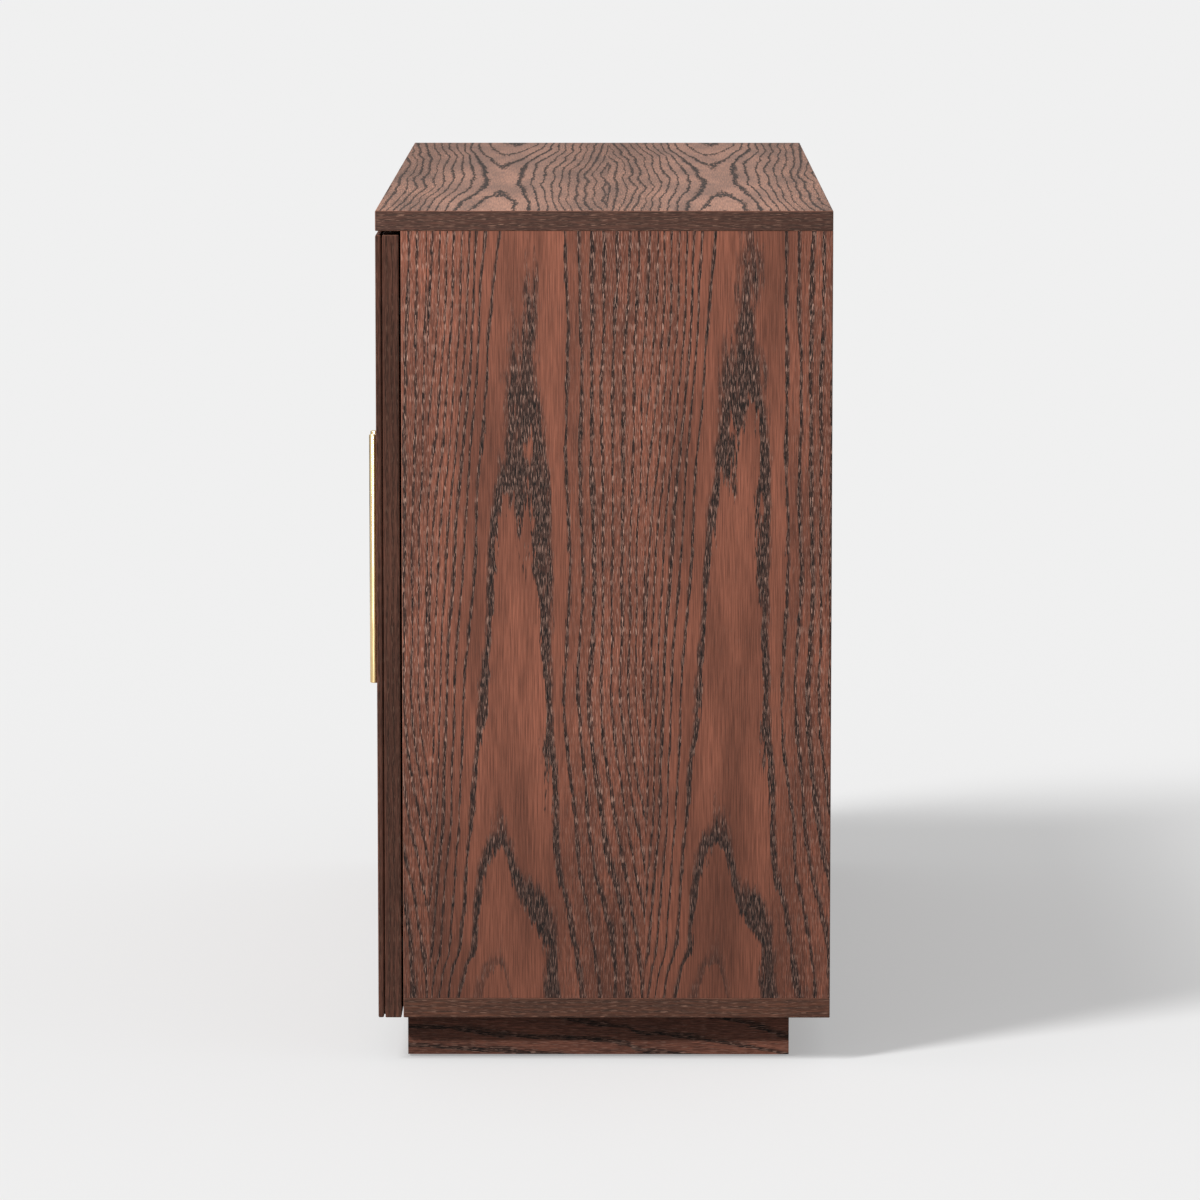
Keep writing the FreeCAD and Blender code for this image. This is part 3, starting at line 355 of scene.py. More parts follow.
    def draw_depth(self, sheet: GroupSheet, leaf: Socket, off: Socket, butt: Socket) -> Socket:
        """Draws the curve of rise, which comes later in each next leaf and leans at the butt.

        Args:
            sheet: the group's sheet.
            leaf: the leaf's number.
            off: the place off the heart line.
            butt: how near the butt it is.

        Returns:
            How many rings deep the cut lies at the heart line.
        """
        calc, along = sheet.calc, sheet.given("Along")
        drop = calc("MULTIPLY", leaf, sheet.ramp(along, *self.drop, 0.0, sheet.given("Leaf Drop")))
        beside = calc("MINIMUM", calc("MAXIMUM", off, 0.0), self.butt_reach)
        pulled = calc("MULTIPLY_ADD", calc("MULTIPLY", beside, butt), self.butt_lean, along)
        curve = sheet.node("FloatCurve")
        length = self.rise[-1][0]
        sheet.fill(curve, {"Value": calc("DIVIDE", calc("SUBTRACT", pulled, drop), length)})
        points = curve.mapping.curves[0].points
        for number, (distance, rings) in enumerate(self.rise):
            place = (distance / length, (rings - self.lowest) / self.span)
            if 0 < number < len(self.rise) - 1:
                points.new(*place)
            else:
                points[0 if number == 0 else len(points) - 1].location = place
        curve.mapping.update()
        return calc("MULTIPLY_ADD", curve.outputs[0], self.span, self.lowest)

    def draw_spread(self, sheet: GroupSheet, off: Socket, butt: Socket) -> Socket:
        """Draws how the rings close up beside the heart.

        Args:
            sheet: the group's sheet.
            off: the place off the heart line.
            butt: how near the butt it is.

        Returns:
            How many rings further out a place lies than the heart line beside it.
        """
        calc, closing, knee = sheet.calc, sheet.given("Closing"), sheet.given("Knee")
        right = calc("MULTIPLY_ADD", butt, self.butt_swell, sheet.given("Right Spread"))
        spread = sheet.ramp(off, -self.turn, self.turn, sheet.given("Left Spread"), right)
        away = calc("DIVIDE", calc("ABSOLUTE", off), spread)
        steep = calc("MULTIPLY", closing, calc("POWER", knee, calc("SUBTRACT", closing, 1.0)))
        far = calc("POWER", calc("MINIMUM", away, knee), closing)
        return calc("MULTIPLY_ADD", calc("MAXIMUM", calc("SUBTRACT", away, knee), 0.0), steep, far)

    def draw_wood(self, sheet: GroupSheet, ring: Socket) -> Socket:
        """Draws each ring's early wood.

        Args:
            sheet: the group's sheet.
            ring: how many rings out the place lies.

        Returns:
            Its share of early wood.
        """
        calc, given = sheet.calc, sheet.given
        number = calc("FLOOR", ring)
        part = calc("SUBTRACT", ring, number)
        tone = sheet.noise((calc("MULTIPLY", number, self.ring_step), self.ring_row, 0.0))
        width = calc("MULTIPLY", given("Band"), calc("MULTIPLY_ADD", tone, *self.width))
        dry = calc("COMPARE", number, self.lean_ring, 0.5)
        width = calc("MULTIPLY", width, calc("MULTIPLY_ADD", dry, self.lean_loss, 1.0))
        thin, end = (calc("MULTIPLY", width, place) for place in self.closes)
        wood = calc("MULTIPLY", sheet.ramp(part, *self.opens), sheet.ramp(part, thin, end, 1.0, 0.0))
        return calc("MULTIPLY", wood, sheet.ramp(ring, *self.young, given("Young"), 1.0))

    def draw_flame(self, sheet: GroupSheet, along: Socket, off: Socket) -> Socket:
        """Draws the low flame of dark wood that stands beside the heart at the butt.

        Args:
            sheet: the group's sheet.
            along, off: the place along the log and off the heart line.

        Returns:
            1 inside the flame and 0 outside.
        """
        calc, (foot, tip) = sheet.calc, self.flame_ends
        rest = calc("DIVIDE", calc("SUBTRACT", tip, along), tip - foot)
        half = calc("MULTIPLY", calc("SQRT", calc("MAXIMUM", rest, 0.0)), self.flame_half)
        inside = calc("SUBTRACT", half, calc("ABSOLUTE", calc("SUBTRACT", off, self.flame_off)))
        return calc("MULTIPLY", sheet.ramp(inside, *self.flame_side), sheet.ramp(rest, *self.flame_tip))


@dataclass(frozen=True)
class StraightBand:
    """The straight growth rings of edge bands and sawn timber, in millimetres."""

    sway: Noise = Noise(14.0, 120.0, 0.0, 2.0)  # how the rings sway
    sway_reach: float = 1.5  # how far they do, in rings
    jag: Noise = Noise(1.4, 16.0)  # how the rings are jagged
    jag_reach: float = 0.5  # how far they are, in rings
    opens: Pair = (0.0, 0.12)  # where in a ring the early wood begins, and where it is full
    closes: Pair = (0.25, 0.6)  # where it thins out, and where it ends

    def group(self) -> Tree:
        """Makes the group that draws these rings.

        Returns:
            The group: from a place across and along the band to its share of early wood.
        """
        inputs = {"Across": 0.0, "Along": 0.0, "Spacing": 3.0, "Seed": 0.0}
        sheet = GroupSheet("straight_rings", inputs, ("Early Wood",))
        calc, place = sheet.calc, [sheet.given(title) for title in ("Across", "Along", "Seed")]
        ring = calc("DIVIDE", sheet.given("Across"), sheet.given("Spacing"))
        ring = calc("MULTIPLY_ADD", sheet.scatter(self.sway, *place), self.sway_reach, ring)
        part = calc("FRACT", calc("MULTIPLY_ADD", sheet.scatter(self.jag, *place), self.jag_reach, ring))
        opening, closing = sheet.ramp(part, *self.opens), sheet.ramp(part, *self.closes, 1.0, 0.0)
        sheet.give(early_wood=calc("MULTIPLY", opening, closing))
        return sheet.tree


@dataclass(frozen=True)
class OpenPores:
    """The wood's open pores and what lies between them."""

    # Measured against a pore's width and length
    dash: Noise = Noise(1.0, 1.0, 0.0, 1.5, 0.55)
    fleck: Noise = Noise(1 / 1.3, 1 / 1.3, 17.0)
    streak: Noise = Noise(1.25, 2.5, 71.0, 2.5, 0.6)

    # Measured in millimetres
    line: Noise = Noise(0.9, 40.0, 31.0, 2.0)
    cloud: Noise = Noise(34.0, 240.0, 53.0, 3.0)

    pore_ends: Pair = (0.45, 0.53)  # below which dash a pore is open, and above which there is none
    fleck_ends: Pair = (0.575, 0.64)  # above which fleck one begins, and above which it is full

    def group(self) -> Tree:
        """Makes the group that scatters the pores.

        Returns:
            The group: from a place across and along the grain to the dark dashes, the light flecks beside
            them, the fine lines and streaks of the wood between them, and the slow clouds of the stain.
        """
        inputs = {"Across": 0.0, "Along": 0.0, "Width": 0.78, "Length": 13.0, "Seed": 0.0}
        sheet = GroupSheet("open_pores", inputs, MASKS)
        calc, given, ramp = sheet.calc, sheet.given, sheet.ramp
        place = given("Across"), given("Along"), given("Seed")
        pore = calc("DIVIDE", place[0], given("Width")), calc("DIVIDE", place[1], given("Length")), place[2]
        sheet.give(pore=ramp(sheet.scatter(self.dash, *pore), *self.pore_ends, 1.0, 0.0),
                   fleck=ramp(sheet.scatter(self.fleck, *pore), *self.fleck_ends),
                   streak=sheet.scatter(self.streak, *pore),
                   line=sheet.scatter(self.line, *place), cloud=sheet.scatter(self.cloud, *place))
        return sheet.tree


@dataclass(frozen=True)
class Staining:
    """How the stain takes on the wood."""

    cloud_tones: Pair = (0.70, 1.26)  # how dark and how light the stain's clouds are
    line_tones: Pair = (0.66, 1.34)  # how dark and how light the fine lines are

    # What a flank adds, and what there is without one
    streaks: Pair = (1.7, 0.25)  # how streaky the tone is
    cover: Pair = (-0.1, 0.9)  # how fully the early wood covers the late
    stray: Pair = (0.32, 0.05)  # how many of the pores the late wood has
    glint: Pair = (0.3, 0.5)  # how light the flecks are

    crowd: float = 1.3  # how much more of the flecks shows than of the pores
    butt_tone: float = -0.2  # how much the butt darkens the tone
    butt_glint: float = -0.4  # how much it darkens the flecks
    dull_early: float = 0.5  # how dull early wood is against a pore
    dull: float = 0.3  # how much rougher a pore is than the wood
    pore_low: float = -1.0  # how low a pore lies
    early_low: float = -0.25  # how low the early wood lies

    def group(self) -> Tree:
        """Makes the group that colours the grain.

        Returns:
            The group: from the masks of early wood, pores and flecks to a colour, a roughness and a height.
        """
        sheet = GroupSheet("stained_grain", {
            "Early Wood": 0.0, **dict.fromkeys(MASKS, 0.5), "Flank": 0.0, "Butt": 0.0, "Gloss": 0.58,
            "Late Colour": stain(108, 64, 49), "Early Colour": stain(47, 33, 28),
            "Pore Colour": stain(22, 17, 15), "Fleck Colour": stain(175, 137, 121),
        }, ("Color", "Roughness", "Height"))
        given, calc = sheet.given, sheet.calc
        early, flank, butt = given("Early Wood"), given("Flank"), given("Butt")

        # The late wood's tone
        tone = sheet.ramp(given("Cloud"), *MIDDLE, *self.cloud_tones)
        tone = calc("MULTIPLY", tone, sheet.ramp(given("Line"), *MIDDLE, *self.line_tones))
        tone = calc("MULTIPLY", tone, calc("MULTIPLY_ADD", butt, self.butt_tone, 1.0))
        uneven = calc("MULTIPLY_ADD", flank, *self.streaks)
        streak = calc("MULTIPLY_ADD", calc("SUBTRACT", given("Streak"), 0.5), uneven, 1.0)
        tone = calc("MULTIPLY", tone, streak)
        late = sheet.add("HueSaturation", {"Value": tone, "Color": given("Late Colour")})

        # The early wood over it, then the pores, then the light flecks
        cover = calc("MULTIPLY", early, calc("MULTIPLY_ADD", flank, *self.cover))
        ground = sheet.blend(cover, late, given("Early Colour"))
        stray = calc("MULTIPLY_ADD", flank, *self.stray)
        share = calc("MULTIPLY_ADD", calc("SUBTRACT", 1.0, early), stray, early)
        pores = calc("MULTIPLY", given("Pore"), share)
        dark = sheet.blend(pores, ground, given("Pore Colour"))
        flecks = calc("MULTIPLY", given("Fleck"), calc("MINIMUM", calc("MULTIPLY", share, self.crowd), 1.0))
        glint = calc("MULTIPLY", calc("MULTIPLY_ADD", flank, *self.glint),
                     calc("MULTIPLY_ADD", butt, self.butt_glint, 1.0))
        dull = calc("MAXIMUM", pores, calc("MULTIPLY", early, self.dull_early))
        sheet.give(color=sheet.blend(calc("MULTIPLY", flecks, glint), dark, given("Fleck Colour")),
                   roughness=calc("MULTIPLY_ADD", dull, self.dull, given("Gloss")),
                   height=calc("MULTIPLY_ADD", pores, self.pore_low, calc("MULTIPLY", early, self.early_low)))
        return sheet.tree


@dataclass(frozen=True)
class RubbedAndHighlitArris:
    """The rounded edges, which the veneer lightens: partly stain sanded thin, partly a painted highlight."""

    ends: Pair = (0.80, 0.97)  # how squarely a surface faces an axis on an arris, and on a flat face

    def group(self) -> Tree:
        """Makes the group that finds them.

        Returns:
            The group: from the surface's own direction to 1 on an arris and 0 on a flat face.
        """
        sheet = GroupSheet("rubbed_arris", dict.fromkeys("XYZ", 0.0), ("Arris",))
        x, y, z = (sheet.calc("ABSOLUTE", sheet.given(title)) for title in "XYZ")
        steepest = sheet.calc("MAXIMUM", x, sheet.calc("MAXIMUM", y, z))
        sheet.give(arris=sheet.ramp(steepest, *self.ends, 1.0, 0.0))
        return sheet.tree


class Workshop:
    """The node groups that the finishes share, each built once."""

    def __init__(self) -> None:
        """Builds the groups."""
        self.flat_sawn, self.straight, self.pores, self.grain, self.arris = (
            kind().group() for kind in (Flitch, StraightBand, OpenPores, Staining, RubbedAndHighlitArris))

    def colour(self, sheet: NodeSheet, pores: Node, **values: Value) -> Node:
        """Places the group that colours the grain, fed from the pores and with these values."""
        return sheet.place(self.grain, **values, **{name.lower(): pores.outputs[name] for name in MASKS})


def clear_sheet(owner: Material | bpy.types.World) -> NodeSheet:
    """Empties the nodes of a material or world.

    Args:
        owner: the material or world.

    Returns:
        The sheet of its nodes.
    """
    owner.use_nodes = True
    owner.node_tree.nodes.clear()
    return NodeSheet(owner.node_tree)


def new_material(name: str) -> tuple[Material, NodeSheet, Node]:
    """Makes an empty material.

    Args:
        name: the finish's name.

    Returns:
        The material, the sheet of its nodes, and its shader, which is linked to the surface.
    """
    material = bpy.data.materials.new(name)
    sheet = clear_sheet(material)
    shader = sheet.node("BsdfPrincipled")
    sheet.fill(sheet.node("OutputMaterial"), {"Surface": shader.outputs[0]})
    return material, sheet, shader


@dataclass(frozen=True)
class Veneer:
    """Stained veneer on a board, in millimetres: arched leaves on the faces, straight bands on the edges."""

    name: str
    across: Axis
    grain: Axis
    thick: Axis
    leaf_width: float = 215.0
    leaf_start: float = -159.0  # where the first leaf starts
    heart: float = 66.0  # where the heart line lies in a leaf
    lean: float = 0.04  # how it leans along the leaf
    left_spread: float = 36.0  # how far beside the heart the next ring lies
    right_spread: float = 46.0
    closing: float = 2.6  # how fast the rings close up further out
    knee: float = 1.5  # where they stop doing so, in spreads
    band: float = 0.35  # what part of a ring is open-pored early wood
    young: float = 0.42  # how much of that shows in the rings next to the heart
    jag: float = 0.1  # how jagged the rings are
    leaf_drop: float = 60.0  # how much further up the log the same figure lies in the next leaf
    start: float = 0.0  # where along the log the cabinet's own zero lies
    way: float = 1.0  # 1 or -1 for the direction
    seed: float = 0.0  # which part of the endless scatter of pores is taken
    leaf_seed: float = 2.0  # how far it moves on from one leaf to the next
    late: Colour = stain(108, 64, 49)  # the faces' smooth wood
    early: Colour = stain(47, 33, 28)  # their open-pored wood
    fleck: Colour = stain(175, 137, 121)  # their light flecks
    edge: Colour = stain(85, 55, 42)  # the edge bands' smooth wood
    edge_early: Colour = stain(62, 44, 35)
    edge_pore: Colour = stain(40, 30, 25)
    edge_fleck: Colour = stain(134, 100, 84)
    edge_spacing: float = 5.0  # how far apart the bands' rings lie
    edge_seed: float = 5.0  # how far their pores lie from the faces' in the scatter
    edge_open: float = 0.45  # how open their early wood is
    edge_flank: float = 0.75  # how much they look like a flank
    rubbed_and_highlit: Colour = stain(128, 82, 65)  # an arris's lighter colour: sanded-thin stain and a painted highlight
    rubbed_and_highlit_share: float = 0.55  # how much of that shows
    facing: Pair = (0.6, 0.8)  # between which slopes a surface turns from edge to face
    depth: float = 0.00025  # how deep the grain is, in metres

    def make(self, shop: Workshop) -> Material:
        """Makes the material.

        Args:
            shop: the shared node groups.

        Returns:
            The material.
        """
        material, sheet, shader = new_material(self.name)
        calc, here, facing = sheet.calc, sheet.parts_of("Object"), sheet.parts_of("Normal")
        across, grain, thick = (
            calc("MULTIPLY", here[axis.value], MM) for axis in (self.across, self.grain, self.thick))
        on_face, on_end = (
            sheet.ramp(calc("ABSOLUTE", facing[axis.value]), *self.facing)
            for axis in (self.thick, self.grain))
        face = self.draw_face(sheet, shop, across, grain)
        edge = self.draw_edge(sheet, shop, thick, sheet.mix(on_end, grain, across))
        arris = sheet.place(shop.arris, x=facing[0], y=facing[1], z=facing[2])
        colour = sheet.blend(on_face, edge.outputs["Color"], face.outputs["Color"])
        roughness, height = (
            sheet.mix(on_face, edge.outputs[name], face.outputs[name]) for name in ("Roughness", "Height"))
        sheet.fill(shader, {
            # The arrises are lightened: partly stain sanded thin, partly a painted highlight
            "Base Color": sheet.blend(calc("MULTIPLY", arris.outputs[0], self.rubbed_and_highlit_share), colour, self.rubbed_and_highlit),
            "Roughness": roughness, "Specular IOR Level": WOOD_SHEEN,
            "Normal": sheet.relief(height, self.depth),
        })
        return material

    def draw_face(self, sheet: NodeSheet, shop: Workshop, across: Socket, grain: Socket) -> Node:
        """Draws the arched leaves of the two faces.

        Args:
            sheet: the material's sheet.
            shop: the shared node groups.
            across, grain: the place across and along the leaves.

        Returns:
            The coloured grain.
        """
        along = sheet.calc("MULTIPLY_ADD", grain, self.way, self.start)
        figure = {name: getattr(self, name) for name in (
            "leaf_width", "leaf_start", "heart", "lean", "left_spread", "right_spread", "closing", "knee",
            "band", "young", "jag", "leaf_drop")}
        rings = sheet.place(shop.flat_sawn, across=across, along=along, **figure)
        seed = sheet.calc("MULTIPLY_ADD", rings.outputs["Leaf"], self.leaf_seed, self.seed)
        pores = sheet.place(shop.pores, across=rings.outputs["Local"], along=along, seed=seed)
        return shop.colour(
            sheet, pores, early_wood=rings.outputs["Early Wood"], flank=rings.outputs["Flank"],
            butt=rings.outputs["Butt"], late_colour=self.late, early_colour=self.early,
            fleck_colour=self.fleck)

    def draw_edge(self, sheet: NodeSheet, shop: Workshop, across: Socket, along: Socket) -> Node:
        """Draws the straight bands that close the board's edges.

        Args:
            sheet: the material's sheet.
            shop: the shared node groups.
            across, along: the place across and along the band.

        Returns:
            The coloured grain.
        """
        place = {"across": across, "along": along}
        band = sheet.place(shop.straight, **place, seed=self.seed, spacing=self.edge_spacing)
        pores = sheet.place(shop.pores, **place, seed=self.seed + self.edge_seed)
        return shop.colour(
            sheet, pores, early_wood=sheet.calc("MULTIPLY", band.outputs[0], self.edge_open),
            flank=self.edge_flank, late_colour=self.edge, early_colour=self.edge_early,
            pore_colour=self.edge_pore, fleck_colour=self.edge_fleck)


@dataclass(frozen=True)
class RawTimber:
    """Unstained sawn timber, where no one sees it, in millimetres."""

    name: str
    grain: Axis = Axis.Z
    late: Colour = stain(205, 170, 126)
    early: Colour = stain(178, 140, 96)
    pore: Colour = stain(132, 98, 64)
    fleck: Colour = stain(216, 186, 148)
    slant: float = 0.6  # how much the rings slant through the piece
    spacing: float = 2.4  # how far apart they lie
    pore_width: float = 0.7
    pore_length: float = 6.0
    flank: float = 0.4  # how much it looks like a flank
    gloss: float = 0.68  # its roughness
    depth: float = 0.0002  # how deep the grain is, in metres

    def make(self, shop: Workshop) -> Material:
        """Makes the material.

        Args:
            shop: the shared node groups.

        Returns:
            The material.
        """
        material, sheet, shader = new_material(self.name)
        calc, here = sheet.calc, sheet.parts_of("Object")
        first, second = (here[axis.value] for axis in Axis if axis is not self.grain)
        place = {"along": calc("MULTIPLY", here[self.grain.value], MM),
                 "across": calc("MULTIPLY", calc("MULTIPLY_ADD", second, self.slant, first), MM)}
        band = sheet.place(shop.straight, **place, spacing=self.spacing)
        pores = sheet.place(shop.pores, **place, width=self.pore_width, length=self.pore_length)
        wood = shop.colour(
            sheet, pores, early_wood=band.outputs[0], flank=self.flank, late_colour=self.late,
            early_colour=self.early, pore_colour=self.pore, fleck_colour=self.fleck, gloss=self.gloss).outputs
        sheet.fill(shader, {
            "Base Color": wood["Color"], "Roughness": wood["Roughness"], "Specular IOR Level": WOOD_SHEEN,
            "Normal": sheet.relief(wood["Height"], self.depth),
        })
        return material


@dataclass(frozen=True)
class BrushedMetal:
    """A metal with fine lines and a soft cloud of handling on it, in metres."""

    name: str
    colour: Colour
    worn: Colour  # the colour of its clouds
    roughness: float = 0.3
    along: Axis = Axis.Z  # the axis that its lines follow
    fine: float = 1400.0  # how many lines there are in a metre
    stretch: float = 40.0  # how much longer than wide a line is
    clouds: float = 60.0  # how many clouds there are in a metre
    cloud_detail: float = 3.0
    cloud_ends: Pair = (0.45, 0.75)  # where in their noise they begin, and where they are full
    line_dull: Pair = (-0.06, 0.08)  # how much smoother and rougher the lines are
    cloud_dull: float = 0.06  # how much rougher a cloud is
    depth: float = 0.00001  # how deep the lines are

    def make(self) -> Material:
        """Makes the material.

        Returns:
            The material.
        """
        material, sheet, shader = new_material(self.name)
        place = sheet.place_of("Object")
        scale = [self.fine] * 3
        scale[self.along.value] /= self.stretch
        stretched = sheet.add("Mapping", {"Vector": place, "Scale": scale}, vector_type="POINT")
        lines = sheet.add("TexNoise", {"Vector": stretched, "Scale": 1.0}, "Fac")
        handling = {"Vector": place, "Scale": self.clouds, "Detail": self.cloud_detail}
        cloud = sheet.ramp(sheet.add("TexNoise", handling, "Fac"), *self.cloud_ends)
        rough = sheet.ramp(lines, *MIDDLE, *(self.roughness + dull for dull in self.line_dull))
        sheet.fill(shader, {
            "Base Color": sheet.blend(cloud, self.colour, self.worn), "Metallic": 1.0,
            "Roughness": sheet.calc("MULTIPLY_ADD", cloud, self.cloud_dull, rough),
            "Normal": sheet.relief(lines, self.depth),
        })
        return material


@dataclass(frozen=True)
class Moulded:
    """Moulded plastic or rubber with a faint grain, in metres."""

    name: str
    colour: Colour
    roughness: float = 0.5
    clear: float = 0.0  # how much light passes through it
    fine: float = 900.0  # how many grains there are in a metre
    tones: Pair = (0.92, 1.08)  # how dark and how light they are
    dull: float = 0.05  # how much their roughness differs, up and down
    depth: float = 0.00002  # how deep they are

    def make(self) -> Material:
        """Makes the material.

        Returns:
            The material.
        """
        material, sheet, shader = new_material(self.name)
        grain = sheet.add("TexNoise", {"Vector": sheet.place_of("Object"), "Scale": self.fine}, "Fac")
        tone = sheet.ramp(grain, *MIDDLE, *self.tones)
        sheet.fill(shader, {
            "Base Color": sheet.add("HueSaturation", {"Color": self.colour, "Value": tone}),
            "Roughness": sheet.ramp(grain, *MIDDLE, self.roughness - self.dull, self.roughness + self.dull),
            "Transmission Weight": self.clear, "Normal": sheet.relief(grain, self.depth),
        })
        return material


class Palette:
    """Every finish of the cabinet, each made once: the boards', and the fittings' by the record's slots."""

    def __init__(self) -> None:
        """Makes the finishes."""
        shop = Workshop()
        # The top's smooth wood is lighter than the other boards', partly its own tone and partly a painted
        # sheen
        self.top = Veneer(
            "veneer_top", Axis.Y, Axis.X, Axis.Z, leaf_width=228.0, leaf_start=-211.0, heart=117.0, lean=0.0,
            left_spread=25.0, right_spread=25.0, closing=1.7, knee=2.2, band=0.27, jag=0.17, leaf_drop=0.0,
            start=1600.0, way=-1.0, seed=2.0, late=stain(136, 97, 79), early=stain(22, 15, 12),
            fleck=stain(70, 50, 41), edge=stain(60, 37, 29)).make(shop)
        self.end = Veneer("veneer_end", Axis.Y, Axis.Z, Axis.X).make(shop)
        self.level = Veneer("veneer_level", Axis.Y, Axis.X, Axis.Z, start=700.0, seed=4.0,
                            edge=stain(73, 44, 32)).make(shop)
        # The doors' edge bands are lighter than the other edges as painted light, standing in for the key
        # lamp, which does not light the doors
        self.front = Veneer("veneer_front", Axis.X, Axis.Z, Axis.Y, leaf_start=0.0, leaf_width=200.0,
                            start=900.0, seed=6.0, edge=stain(106, 68, 55)).make(shop)
        self.back = Veneer("veneer_back", Axis.X, Axis.Z, Axis.Y, leaf_start=-80.0, leaf_width=290.0,
                           start=1300.0, seed=7.0, band=0.28).make(shop)
        rail = {"leaf_start": -150.0, "lean": 0.06, "knee": 1.25, "young": 1.0, "late": stain(116, 72, 57),
                "early": stain(48, 34, 28)}
        self.long_rail = Veneer("veneer_long_rail", Axis.Z, Axis.X, Axis.Y, seed=8.0, **rail).make(shop)
        self.end_rail = Veneer("veneer_end_rail", Axis.Z, Axis.Y, Axis.X, seed=9.0, **rail).make(shop)
        self.timber = RawTimber("raw_timber").make(shop)
        self.fittings = {finish.name: finish.make() for finish in (
            BrushedMetal("brass", stain(226, 198, 148), stain(212, 182, 130), 0.24),
            BrushedMetal("nickelled_steel", stain(196, 194, 189), stain(180, 178, 172), 0.22),
            BrushedMetal("black_nickel", stain(62, 60, 58), stain(50, 49, 48), 0.34),
            BrushedMetal("zinc", stain(176, 178, 180), stain(150, 152, 154), 0.42),
            BrushedMetal("steel_screw", stain(190, 190, 192), stain(170, 170, 172)),
            Moulded("glide_plastic", stain(34, 34, 35)),
            Moulded("bumper_rubber", stain(214, 214, 208), 0.35, 0.6),
        )}


def dress(material: Material, *nodes: str) -> None:
    """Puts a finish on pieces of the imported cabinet.

    Args:
        material: the finish.
        nodes: the pieces' names.
    """
    for node in nodes:
        piece = frame["nodes"][node]
        piece.data.materials.clear()
        piece.data.materials.append(material)
        LOG.info("%s: %s", node, material.name)


